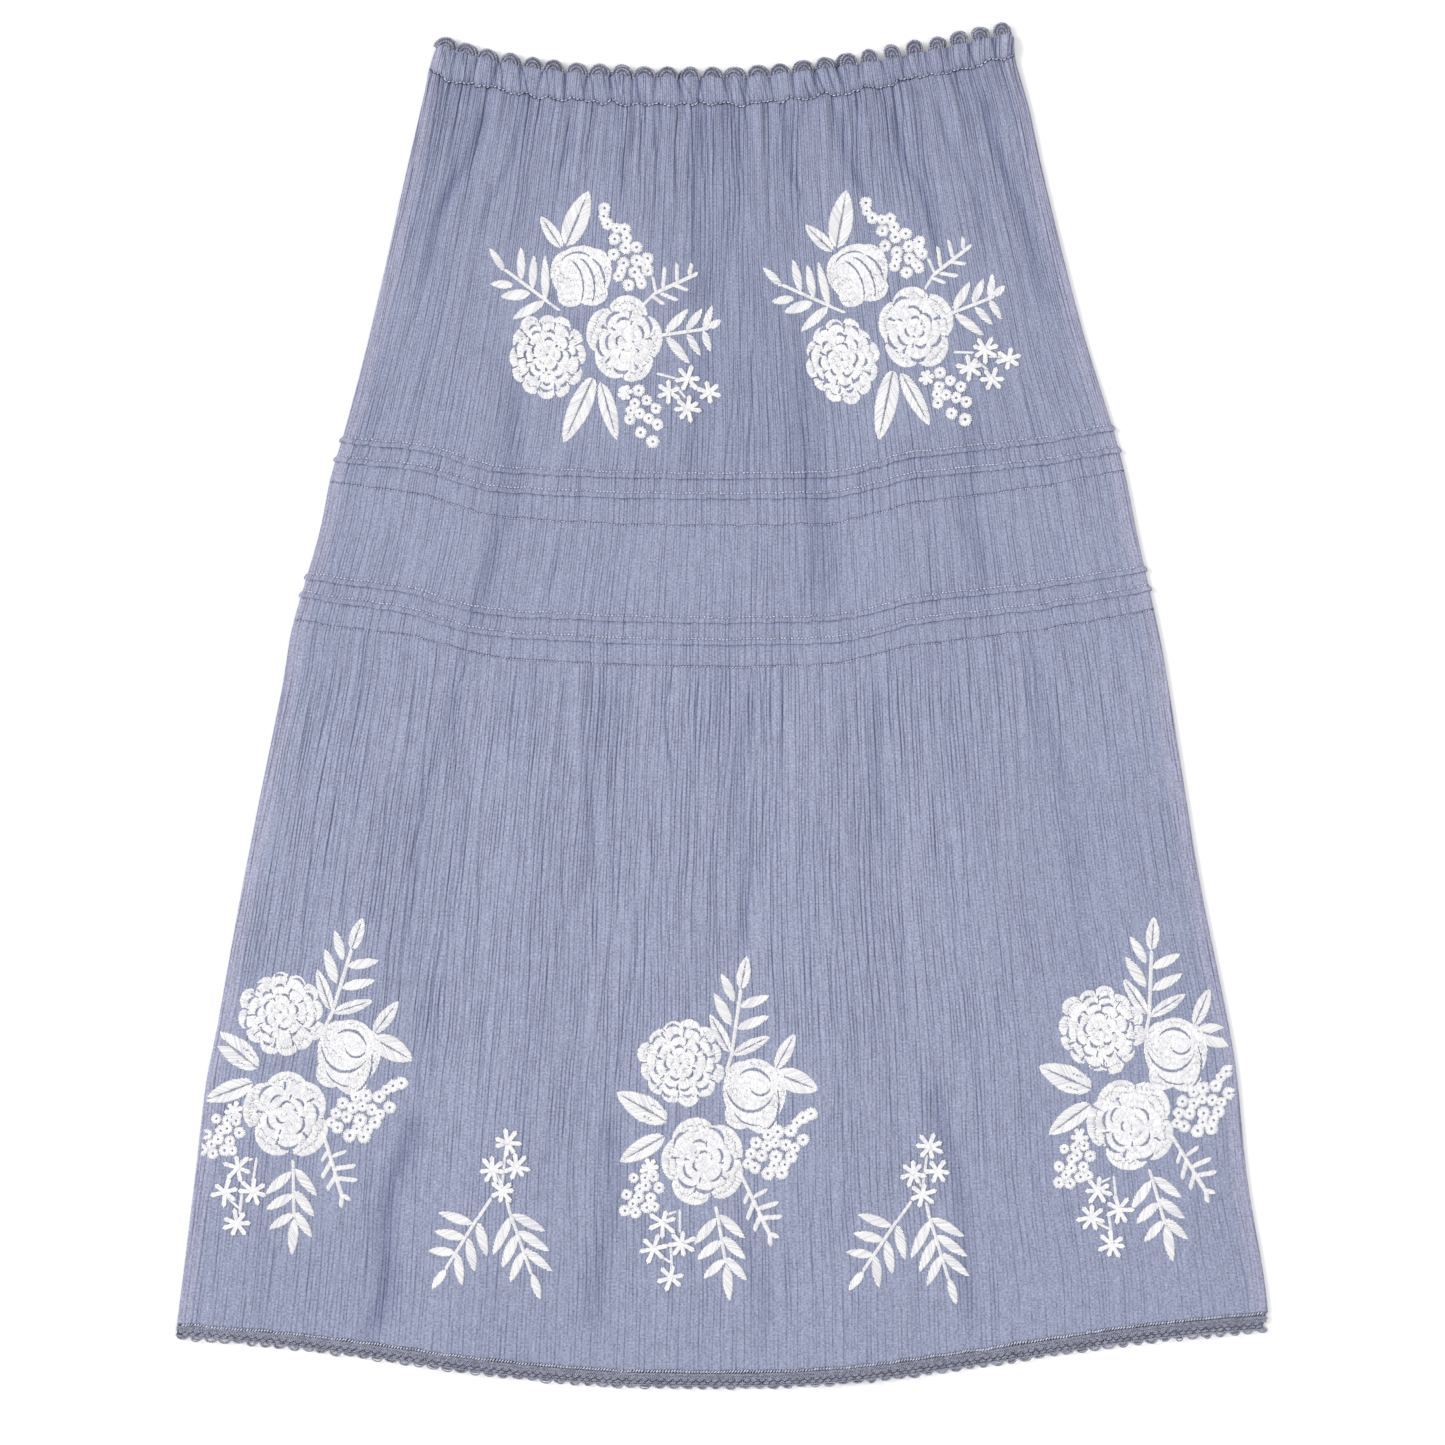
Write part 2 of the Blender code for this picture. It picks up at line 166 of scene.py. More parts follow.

# Main creases pressed into the cloth, as narrow troughs. They have the folds' columns, and
# the size is their depth.
FRONT_CREASES = named(
    Fold,
    (-0.79, -0.91, 404, 268, 4.5, 1.3), (-0.86, -0.87, 396, 310, 3.0, 0.9),
    (-0.66, -0.74, 398, 300, 3.0, 0.8), (-0.50, -0.52, 396, 330, 2.6, 0.7),
    (-0.29, -0.33, 396, 322, 2.8, 0.8), (-0.08, -0.07, 400, 140, 6.0, 0.6),
    (0.06, 0.03, 396, 346, 2.4, 0.7), (0.19, 0.24, 398, 318, 3.0, 0.8),
    (0.37, 0.46, 402, 300, 3.0, 1.0), (0.55, 0.66, 404, 270, 3.4, 1.1),
    (0.70, 0.80, 408, 296, 2.8, 0.9), (0.86, 0.93, 415, 250, 4.0, 1.2),
    (0.20, 0.22, 240, 46, 9.0, 0.8), (-0.55, -0.57, 250, 30, 7.0, 0.7),
    (0.62, 0.60, 220, 60, 7.0, 0.7), (-0.62, -0.66, 20, -170, 5.0, 0.5),
    (-0.27, -0.30, 18, -150, 4.0, 0.6), (0.05, 0.03, 14, -190, 5.0, 0.7),
    (0.33, 0.36, 18, -130, 4.0, 0.6), (0.72, 0.76, 34, -210, 5.0, 0.5),
    (-0.60, -0.65, -268, -440, 7.5, 1.3), (0.42, 0.47, -250, -430, 7.0, 0.8),
    (0.05, 0.08, -330, -440, 7.0, 0.6), (-0.20, -0.24, -270, -440, 7.0, 0.8),
)
BACK_CREASES = named(
    Fold,
    (-0.72, -0.80, 400, 290, 4.0, 0.7), (-0.38, -0.42, 398, 250, 4.0, 0.6),
    (-0.05, -0.02, 398, 180, 6.0, 0.7), (0.30, 0.37, 400, 270, 4.0, 0.7),
    (0.66, 0.72, 404, 240, 4.0, 0.6), (-0.50, -0.55, 20, -200, 6.0, 0.7),
    (0.15, 0.12, 14, -260, 6.0, 0.7), (0.60, 0.66, 24, -180, 5.0, 0.6),
    (-0.20, -0.26, -240, -440, 8.0, 0.7), (0.40, 0.46, -260, -430, 8.0, 0.7),
)
CREASE_FADE = 40 * MM
CREASE_WANDER = 0.012

# Rows of a pin tuck: how far below its stitching each lies, how much it stands off the cloth, how far
# its end stands out past the side edge, in mm, and how much painted shadow it gets under the fold
Row = namedtuple("Row", "drop raised stand_out shade")
TUCK_ROWS = named(
    Row,
    (-1.4, 0.05, 0.0, 0.0), (-0.5, 0.00, 0.0, 0.10), (0.0, -0.15, 0.2, 0.25), (0.5, 0.25, 0.8, 0.0),
    (1.1, 0.55, 1.4, 0.0), (2.0, 0.72, 1.7, 0.0), (2.9, 0.88, 1.8, 0.0), (3.40, 0.88, 1.6, 0.0),
    (3.68, 0.55, 1.2, 0.35), (3.62, -0.05, 0.4, 0.85), (4.50, 0.00, 0.0, 0.25),
)

# Rows beside a seam, from its edge inward, with painted shade along the seam. The first turns the cloth's
# edge down.
SEAM_ROWS = named(
    Row,
    (0.0, -0.60, 0.0, 1.1), (0.1, -0.30, 0.0, 0.9), (0.6, -0.05, 0.0, 0.35), (1.3, 0.10, 0.0, 0.0),
    (2.6, 0.15, 0.0, 0.0), (5.0, 0.05, 0.0, 0.0),
)

# Rows down the casing: share of the way down, fullness of its wall, fullness of its puffs, painted shade at
# its puckered stitching
CasingRow = namedtuple("CasingRow", "share wall puff shade")
CASING_ROWS = named(
    CasingRow,
    (0.00, 0.10, 0.00, 0.6), (0.00, 0.50, 0.05, 0.3), (0.03, 0.80, 0.25, 0.1),
    (0.08, 0.95, 0.50, 0.0), (0.15, 1.00, 0.75, 0.0), (0.25, 1.00, 0.90, 0.0),
    (0.37, 1.00, 0.98, 0.0), (0.50, 1.00, 1.00, 0.0), (0.62, 1.00, 0.96, 0.0),
    (0.74, 1.00, 0.84, 0.0), (0.84, 1.00, 0.68, 0.0), (0.91, 1.00, 0.46, 0.1),
    (0.96, 0.92, 0.30, 0.4), (1.00, 0.78, 0.20, 0.9), (1.00, 0.45, 0.10, 1.3),
)

# The embroidery is charted in steps of 0.67 mm, from the chart's upper left corner
STEP = 0.67 * MM
CHART_MIDDLE_X = 723.4
CHART_MIDDLE_Y = 706.5

# How much fuller than charted a stroke comes out, as its thread spreads
STROKE_FULLNESS = 1.25

# How far the stitches of one row run past each other, and the breadth from which a leaf has a vein,
# in mm. How high a stitch is, and how far its middle lies above the cloth.
STITCH_OVERLAP = 0.15
VEINED_BREADTH = 8.5
STITCH_HEIGHT = 0.50 * MM
STITCH_CLEARANCE = 0.22 * MM

Flower = namedtuple("Flower", "kind x y across down turn")
Leaf = namedtuple("Leaf", "base_x base_y tip_x tip_y breadth")
Stroke = namedtuple("Stroke", "start_x start_y end_x end_y breadth")
Spot = namedtuple("Spot", "x y size")
Design = namedtuple("Design", "anchor_x anchor_y flowers leaves strokes berries stars")
Place = namedtuple("Place", "name design x y turn")

UPPER_BOUQUET = Design(
    624, 341,
    named(
        Flower,
        ("bud", 582, 277, 62, 63, 4), ("rose", 625, 341, 75, 87, 10),
        ("peony", 547, 356, 75, 87, 0),
    ),
    named(
        Leaf,
        (566, 247, 589, 192, 25), (562, 249, 541, 217, 14), (594, 377, 564, 443, 23),
        (601, 382, 617, 440, 17), (505, 271, 490, 249, 8), (522, 281, 521, 248, 9),
        (533, 290, 534, 256, 9), (546, 301, 545, 256, 9), (514, 285, 491, 285, 9),
        (531, 293, 501, 298, 12), (545, 301, 513, 320, 11), (666, 334, 688, 309, 10),
        (687, 331, 702, 309, 9), (704, 331, 712, 306, 8), (709, 329, 721, 320, 8),
        (666, 337, 690, 364, 10), (687, 334, 701, 356, 8), (703, 331, 711, 352, 8),
    ),
    named(
        Stroke,
        (560, 311, 546, 301, 2.6), (548, 302, 505, 270, 3.2), (660, 336, 709, 329, 3.2),
        (643, 306, 656, 293, 2.8), (655, 294, 698, 274, 3.6), (656, 293, 653, 277, 3.0),
        (663, 289, 665, 268, 3.8), (677, 282, 677, 264, 3.8), (689, 276, 692, 264, 3.8),
        (653, 297, 664, 305, 3.6), (661, 294, 678, 301, 3.8), (673, 285, 688, 291, 3.6),
        (657, 374, 676, 379, 2.4), (690, 386, 704, 390, 2.4), (676, 386, 686, 399, 2.4),
    ),
    named(
        Spot,
        (605, 209, 6), (608, 225, 6), (625, 230, 6), (615, 240, 6), (626, 249, 6), (637, 248, 6),
        (614, 255, 6), (648, 259, 6), (637, 261, 6), (624, 264, 6), (635, 273, 6), (648, 271, 6),
        (619, 277, 5.6), (629, 286, 6), (642, 284, 5.6), (639, 391, 6), (635, 404, 5.4),
        (647, 401, 5.4), (656, 409, 5.4), (630, 420, 5.6), (640, 414, 5.4), (649, 419, 5.4),
        (658, 425, 5.8), (641, 433, 5.8), (653, 442, 6.4), (604, 217, 5.0), (617, 229, 5.0),
        (627, 239, 5.4), (606, 262, 5.0), (646, 266, 5.0), (640, 279, 5.2), (631, 411, 5.0),
        (622, 271, 5.0),
    ),
    named(
        Spot,
        (688, 379, 12), (669, 393, 12), (709, 393, 11), (688, 409, 12), (625, 393, 7),
    ),
)
LOWER_BOUQUET = Design(
    703, 1161,
    named(
        Flower,
        ("half_rose", 754, 1095, 64, 76, -8), ("rose", 703, 1161, 85, 91, 35),
        ("peony", 682, 1063, 85, 88, 15),
    ),
    named(
        Leaf,
        (741, 989, 747, 956, 14), (735, 1001, 721, 973, 10), (732, 1025, 714, 993, 12),
        (730, 1052, 710, 1014, 13), (740, 1007, 769, 995, 11), (737, 1029, 769, 1015, 11),
        (733, 1054, 770, 1036, 13), (776, 1068, 795, 1033, 15), (776, 1073, 818, 1089, 25),
        (668, 1121, 617, 1092, 27), (665, 1135, 620, 1161, 21), (716, 1217, 695, 1244, 11),
        (721, 1239, 698, 1259, 11), (724, 1258, 704, 1278, 10), (719, 1214, 745, 1237, 11),
        (722, 1236, 746, 1258, 11), (726, 1257, 747, 1279, 10), (726, 1263, 730, 1300, 11),
    ),
    named(
        Stroke,
        (726, 1072, 733, 1050, 3.4), (732, 1052, 741, 989, 3.6), (716, 1206, 726, 1263, 3.2),
        (741, 1174, 760, 1213, 3.6), (759, 1212, 771, 1236, 4.2), (754, 1196, 767, 1189, 3.8),
        (758, 1208, 778, 1202, 4.6), (762, 1217, 782, 1216, 4.6), (771, 1232, 778, 1237, 4.6),
        (749, 1192, 744, 1203, 3.6), (754, 1201, 747, 1219, 4.2), (760, 1216, 754, 1230, 4.4),
        (770, 1234, 770, 1245, 4.6), (680, 1209, 680, 1232, 2.6), (671, 1246, 672, 1268, 2.8),
        (656, 1252, 671, 1262, 2.4), (664, 1215, 676, 1211, 2.4),
    ),
    named(
        Spot,
        (811, 1113, 6.4), (803, 1117, 6.2), (791, 1130, 6.4), (778, 1131, 6.6), (803, 1139, 6.2),
        (756, 1142, 6), (767, 1145, 6), (786, 1144, 6), (751, 1153, 5.6), (762, 1155, 6),
        (776, 1156, 6.6), (791, 1156, 6.2), (755, 1167, 6), (768, 1173, 6.6), (782, 1172, 6.6),
        (634, 1177, 5), (646, 1185, 5.6), (659, 1187, 5.8), (627, 1194, 5.4), (639, 1197, 5.6),
        (651, 1197, 5.4), (625, 1210, 5.8), (636, 1212, 5.6), (647, 1207, 5.8), (797, 1122, 5.2),
        (768, 1134, 5.4), (776, 1142, 5.2), (785, 1164, 5.2), (748, 1163, 5.2), (774, 1165, 5.2),
        (795, 1147, 5.0), (654, 1176, 5.2), (645, 1177, 5.0), (633, 1203, 5.0), (640, 1188, 5.2),
        (655, 1206, 5.0),
    ),
    named(
        Spot,
        (663, 1222, 13), (654, 1248, 13), (682, 1243, 13), (671, 1277, 13), (650, 1167, 9),
    ),
)
SPRIG = Design(
    505, 1200,
    (),
    named(
        Leaf,
        (474, 1222, 439, 1212, 11), (466, 1236, 435, 1231, 11), (456, 1251, 429, 1250, 10),
        (478, 1221, 488, 1255, 11), (468, 1237, 476, 1270, 11), (457, 1252, 463, 1284, 10),
        (446, 1268, 433, 1288, 9), (512, 1213, 546, 1230, 11), (518, 1230, 550, 1250, 11),
        (524, 1248, 553, 1270, 10), (511, 1215, 494, 1254, 11), (517, 1233, 503, 1267, 11),
        (523, 1250, 511, 1281, 10), (532, 1273, 541, 1298, 9),
    ),
    named(
        Stroke,
        (492, 1197, 478, 1218, 3.2), (478, 1217, 446, 1268, 3.2), (507, 1198, 511, 1214, 3.2),
        (511, 1213, 532, 1274, 3.2), (506, 1150, 503, 1182, 2.6), (497, 1172, 502, 1183, 2.4),
    ),
    (),
    named(Spot, (508, 1142, 13), (493, 1169, 12), (517, 1166, 12), (503, 1190, 12)),
)
PLACES = named(
    Place,
    ("upper_left_bouquet", UPPER_BOUQUET, 624, 341, 0),
    ("upper_right_bouquet", UPPER_BOUQUET, 914, 328, 13),
    ("lower_left_bouquet", LOWER_BOUQUET, 288, 1113, -9),
    ("lower_middle_bouquet", LOWER_BOUQUET, 703, 1161, 0),
    ("lower_right_bouquet", LOWER_BOUQUET, 1131, 1125, 6), ("left_sprig", SPRIG, 505, 1200, 0),
    ("right_sprig", SPRIG, 924, 1204, -2),
)


# Plain helpers


def linear(colour):
    """The linear value of an sRGB hex colour such as #96A0B4."""
    values = []
    for start in (1, 3, 5):
        value = int(colour[start:start + 2], 16) / 255
        values.append(value / 12.92 if value <= 0.04045 else ((value + 0.055) / 1.055) ** 2.4)
    return (*values, 1.0)


def ease(share):
    """A smooth climb from 0 to 1 as the share goes from 0 to 1."""
    held = np.clip(share, 0.0, 1.0)
    return held * held * (3 - 2 * held)


# Where the cloth lies


def side_at(height):
    """The left and right edges (x) of the laid skirt at each height (y)."""
    level = np.asarray(height, float) / MM
    index = np.clip(np.searchsorted(-SIDE_TABLE[:, 0], -level) - 1, 0, len(SIDES) - 2)
    before = SIDE_TABLE[np.maximum(index - 1, 0)]
    upper = SIDE_TABLE[index]
    lower = SIDE_TABLE[index + 1]
    after = SIDE_TABLE[np.minimum(index + 2, len(SIDES) - 1)]
    span = lower[..., 0] - upper[..., 0]
    share = (level - upper[..., 0]) / span
    edges = []
    for edge in (1, 2):
        leave = (lower[..., edge] - before[..., edge]) / (lower[..., 0] - before[..., 0]) * span
        arrive = (after[..., edge] - upper[..., edge]) / (after[..., 0] - upper[..., 0]) * span
        curve = upper[..., edge] * (2 * share**3 - 3 * share**2 + 1)
        curve += lower[..., edge] * (3 * share**2 - 2 * share**3)
        curve += leave * (share**3 - 2 * share**2 + share)
        curve += arrive * (share**3 - share**2)
        edges.append(curve * MM)
    return -edges[0], edges[1]


def line_height(line, across):
    """The height (y) of a line, or of a row of lines, at shares across the skirt from -1 to 1."""
    middle, left_rise, left_bow, right_rise, right_bow, step, left_fold, right_fold, bend = np.moveaxis(
        np.asarray(line, float), -1, 0
    )
    left = across < 0
    rise = np.where(left, left_rise, right_rise)
    bow = np.where(left, left_bow, right_bow)
    fold = np.where(left, left_fold, right_fold)
    reach = np.abs(across)
    climb = step * ease((reach - fold) / bend) + (rise - step) * reach**bow
    return (middle + climb) * MM


def between(upper, lower, share):
    """The line that lies a share of the way down from one line to another."""
    return Line(*(high + (low - high) * share for high, low in zip(upper, lower)))


def lowered(line, drop):
    """The line moved down by a drop in mm."""
    return line._replace(middle=line.middle - drop)


def place(line, across, stand_out=0.0):
    """The points (x, y) of a line at shares across, with its ends stood out past the side edges."""
    height = line_height(line, across)
    left, right = side_at(height)
    return left - stand_out + (right - left + 2 * stand_out) * (across + 1) / 2, height


def across_at(x, y):
    """The share across the skirt of points (x, y)."""
    left, right = side_at(y)
    return 2 * (x - left) / (right - left) - 1


def fold_height(folds, across, height, wander, top_fade, foot_fade):
    """How high folds stand, or how deep creases lie. They run down the cloth and fade at both ends."""
    left, right = side_at(height)
    total = np.zeros_like(height)
    for fold in folds:
        share = (fold.top * MM - height) / ((fold.top - fold.bottom) * MM)
        middle = fold.top_across + (fold.bottom_across - fold.top_across) * share
        middle = middle + wander * np.sin(9 * share + 40 * fold.top_across)
        away = (across - middle) * (right - left) / 2 / (fold.breadth * MM)
        fade = ease((fold.top * MM - height) / top_fade) * ease((height - fold.bottom * MM) / foot_fade)
        total += fold.size * MM * np.exp(-away * away) * fade
    return total


def crease_depth(creases, across, height):
    """How deep the main creases press into the cloth."""
    return fold_height(creases, across, height, CREASE_WANDER, 0.3 * CREASE_FADE, CREASE_FADE)


def gather_crest(across):
    """How high the gathers stand at shares across, 0 in their valleys and about 1 on their crests."""
    index = np.arange(1, 2 * GATHERS)
    pitch = 1 / GATHERS
    middles = -1 + index * pitch + GATHER_UNEVENNESS * pitch * np.sin(2.1 * index)
    crests = (index % 2) * (1 + GATHER_UNEVENNESS * np.sin(1.7 * index))
    return np.interp(across, middles, crests, left=0, right=0)


def gather_rise(across, height):
    """How much the gathers under the casing and under the lowest seam lift the front."""
    rise = np.zeros_like(height)
    for top, foot, gathers, full in (
        (CASING_STITCH, TUCK_A, UPPER_GATHERS, WAIST_GATHER_HEIGHT),
        (SEAM_F, HEM, LOWER_GATHERS, TIER_GATHER_HEIGHT),
    ):
        start = line_height(top, across)
        share = (start - height) / (start - line_height(foot, across))
        shares, amounts = zip(*gathers)
        rise += full * np.where(share < 0, 0.0, np.interp(share, shares, amounts))
    return rise * gather_crest(across)


def front_top(across, height):
    """The outside of the front: it lifts with the folds and gathers and climbs to the casing."""
    climb = ease(1 - (line_height(CASING_STITCH, across) - height) / CASING_EASE)
    folds = fold_height(FOLDS, across, height, 0.0, FOLD_FADE, FOLD_FADE)
    base = FRONT_BASE + folds + climb * (CASING_BASE - FRONT_BASE - SEAM_GAP)
    return base + CLOTH + gather_rise(across, height)


def rolled(across, top, floor):
    """The height of a surface whose sides roll down to a floor."""
    inside = np.clip((1 - np.abs(across)) / ROLL_SHARE, 0.0, 1.0)
    return floor + (top - floor) * np.sqrt(1 - (1 - inside) ** 2)


def noise(seed, across, down, pitch_across, pitch_down):
    """Smooth seeded noise from -1 to 1, whose lattice is pitch_across by pitch_down mm."""
    table = np.random.default_rng(seed).uniform(-1, 1, (509, 97))
    u = across / pitch_across + 1000
    v = down / pitch_down + 1000
    column = np.floor(u).astype(int)
    row = np.floor(v).astype(int)
    blend_u = ease(u - column)
    blend_v = ease(v - row)
    left = column % 509
    right = (column + 1) % 509
    upper = row % 97
    lower = (row + 1) % 97
    near = table[left, upper] * (1 - blend_u) + table[right, upper] * blend_u
    far = table[left, lower] * (1 - blend_u) + table[right, lower] * blend_u
    return near * (1 - blend_v) + far * blend_v


def crinkled(across, height):
    """How strong the crinkle is: less in the middle tier, near the hem and low on the right."""
    heights, amounts = zip(*CRINKLE_STRENGTH)
    lower_right = ease((across - 0.35) / 0.4) * ease((20 - height / MM) / 60)
    return np.interp(height / MM, heights, amounts) * (1 - 0.5 * lower_right)


def crinkle(seed, pitch, across, height):
    """The cloth's lengthwise crinkle: how deep its narrow troughs and how high its broad ridges are,
    each from 0 to 1 and -1 to 1. Its troughs are pitch mm apart where the skirt is 600 mm wide. They
    fan out with the skirt and wander from side to side."""
    span = across * CRINKLE_HALF_WIDTH
    down = -height / MM
    drift = 7.0 * noise(seed + 6, span, down, 70, 160) + 3.8 * noise(seed, span, down, 26, 70)
    drift += 1.5 * noise(seed + 1, span, down, 8, 34)
    drift += (0.15 + 0.85 * ease((height / MM - 250) / 120)) * noise(seed + 5, span, down, 4, 9)
    line = (0.5 + 0.5 * np.cos(2 * math.pi * (span + drift) / pitch)) ** 4
    strength = np.clip(0.48 + 0.95 * noise(seed + 2, span + drift, down, pitch, 90), 0.0, 1.25)
    broad = noise(seed + 3, span + drift, down, 7.5, 120)
    return line * strength * crinkled(across, height), broad


def waver(across, height):
    """How far the crinkle draws the cloth and its seams up and down, in metres."""
    span = across * CRINKLE_HALF_WIDTH
    down = -height / MM
    return (0.60 * noise(63, span, down, 9.0, 60) + 0.38 * noise(64, span, down, 3.6, 60)) * MM


def looseness(across):
    """How loose the waist's gathers are towards its right end, from 0 to 1."""
    return ease((across - 0.15) / 0.5)


def pucker(across):
    """How far the casing's stitching wanders up and down its line, in metres."""
    span = across * CRINKLE_HALF_WIDTH
    return (2.0 * noise(61, span, 0 * span, 8.0, 10) + 1.1 * noise(62, span, 0 * span, 3.6, 10)) * MM


# Embroidery, laid out on the chart


def turned(points, degrees):
    """Points turned about the origin."""
    angle = math.radians(degrees)
    turn = np.array(((math.cos(angle), math.sin(angle)), (-math.sin(angle), math.cos(angle))))
    return np.asarray(points, float) @ turn


def charted(design, x, y):
    """A chart position as mm from the design's anchor, +y up."""
    return np.array(((x - design.anchor_x) * STEP / MM, (design.anchor_y - y) * STEP / MM))


def crossings(points, level):
    """The stretches of a level line that lie inside an outline."""
    following = np.roll(points, -1, axis=0)
    crossing = (points[:, 1] > level) != (following[:, 1] > level)
    first = points[crossing]
    last = following[crossing]
    share = (level - first[:, 1]) / (last[:, 1] - first[:, 1])
    ends = np.sort(first[:, 0] + (last[:, 0] - first[:, 0]) * share)
    return list(zip(ends[::2], ends[1::2]))


def without(spans, gaps):
    """Stretches of a line with some gaps taken out."""
    for gap_start, gap_end in gaps:
        pieces = [(start, min(end, gap_start)) for start, end in spans]
        pieces += [(max(start, gap_end), end) for start, end in spans]
        spans = [(start, end) for start, end in pieces if end - start > 0.3]
    return spans


class Needle:
    """Collects the stitches of one embroidered piece, in mm from its anchor."""

    def __init__(self, seed, pitch):
        self.random = np.random.default_rng(seed)
        self.pitch = pitch
        self.ends = []
        self.widths = []
        self.lifts = []

    def stitch(self, start, end, width, lift):
        """One stitch from start to end."""
        self.ends.append((start[0], start[1], end[0], end[1]))
        self.widths.append(width)
        self.lifts.append(lift)

    def satin(self, outline, angle, lift=0.0, longest=6.5, slits=()):
        """Fill an outline with parallel stitches at an angle in degrees, open where the slits are."""
        points = turned(outline, -angle)
        holes = [turned(slit, -angle) for slit in slits]
        level = points[:, 1].min() + 0.4 * self.pitch
        while level < points[:, 1].max():
            spans = crossings(points, level)
            for hole in holes:
                if hole[:, 1].min() < level < hole[:, 1].max():
                    spans = without(spans, crossings(hole, level))
            for start, end in spans:
                self.run(start, end, level, angle, lift, longest)
            level += self.pitch

    def run(self, start, end, level, angle, lift, longest):
        """The stitches of one row of a fill, split where the row is too long for one."""
        start += self.random.uniform(-0.30, 0.20)
        end += self.random.uniform(-0.20, 0.30)
        if end - start < 0.5:
            return
        parts = max(1, math.ceil((end - start) / longest))
        cuts = np.linspace(start, end, parts + 1)
        cuts[1:-1] += self.random.uniform(-1.2, 1.2, parts - 1)
        skew = self.random.uniform(-0.12, 0.12, parts + 1)
        for index in range(parts):
            near_end = (cuts[index] - STITCH_OVERLAP, level + skew[index])
            far_end = (cuts[index + 1] + STITCH_OVERLAP, level + skew[index + 1])
            near, far = turned((near_end, far_end), angle)
            self.stitch(near, far, self.pitch * self.random.uniform(1.35, 1.6), lift)

    def stroke(self, start, end, breadth, lift=0.0):
        """A bar of short stitches laid across its length, rounded at both ends."""
        along = end - start
        length = float(np.hypot(*along))
        along = along / length
        side = np.array((-along[1], along[0]))
        for way in np.arange(0.2, length, 0.8 * self.pitch):
            inside = min(way, length - way) / (0.5 * breadth)
            roundness = math.sqrt(1 - (1 - min(inside, 1.0)) ** 2)
            half = 0.5 * breadth * roundness * self.random.uniform(0.85, 1.1)
            middle = start + along * way
            lean = along * 0.25 * breadth
            self.stitch(middle - side * half - lean, middle + side * half + lean, self.pitch, lift)


# Rings of petals from the outside in: how many, how far each ring is turned, its radii as shares of
# the flower's, the open slit round its petals and how far it is lifted, both in mm
Ring = namedtuple("Ring", "petals turn inner outer slit lift")
ROSE_RINGS = named(
    Ring,
    (5, 0, 0.40, 1.00, 1.6, 0.0), (5, 38, 0.26, 0.70, 2.0, 0.12), (4, 5, 0.10, 0.45, 1.8, 0.22),
    (3, 60, 0.00, 0.22, 1.5, 0.30),
)
PEONY_RINGS = named(
    Ring,
    (12, 0, 0.60, 1.00, 1.5, 0.0), (10, 17, 0.42, 0.80, 1.7, 0.10), (8, 40, 0.22, 0.59, 1.8, 0.18),
    (5, 10, 0.02, 0.36, 1.7, 0.26),
)

# A bud's petals from the back to the front, as ovals: middle, half width, half height and turn, as
# shares of the bud's size. The slits along its petals' edges, as arcs of ovals from one angle to
# another.
Oval = namedtuple("Oval", "x y across down turn")
BUD_PETALS = named(
    Oval,
    (-0.38, 0.06, 0.60, 0.80, 12), (0.42, 0.08, 0.56, 0.78, -10), (0.00, 0.44, 0.72, 0.54, 0),
    (-0.34, -0.52, 0.50, 0.42, 20), (0.26, -0.54, 0.54, 0.42, -12),
)
Arc = namedtuple("Arc", "x y across down start end")
BUD_SLITS = named(
    Arc,
    (-0.62, -0.30, 0.62, 0.95, -36, 60), (-0.30, -0.35, 0.66, 1.00, -30, 66),
    (0.02, -0.30, 0.68, 0.95, -8, 58), (-0.12, 0.40, 0.52, 0.34, 30, 160),
)
HALF_ROSE_SLITS = named(
    Arc,
    (-0.15, 0.55, 0.85, 0.95, 212, 328), (-0.05, -0.10, 0.70, 0.75, 42, 132),
    (0.14, 0.36, 0.34, 0.30, 215, 350), (0.28, -0.18, 0.50, 0.72, -58, 36),
    (0.10, -0.34, 0.70, 0.42, 205, 285),
)


def petal_reach(share, inner, outer):
    """How far a petal reaches at each share of its spread: round, with soft corners."""
    return inner + (outer - inner) * (0.32 + 0.68 * (1 - share**2) ** 0.48)


def spoke(angles, radii):
    """Points at angles in degrees and radii."""
    return np.stack((np.cos(np.radians(angles)) * radii, np.sin(np.radians(angles)) * radii), axis=-1)


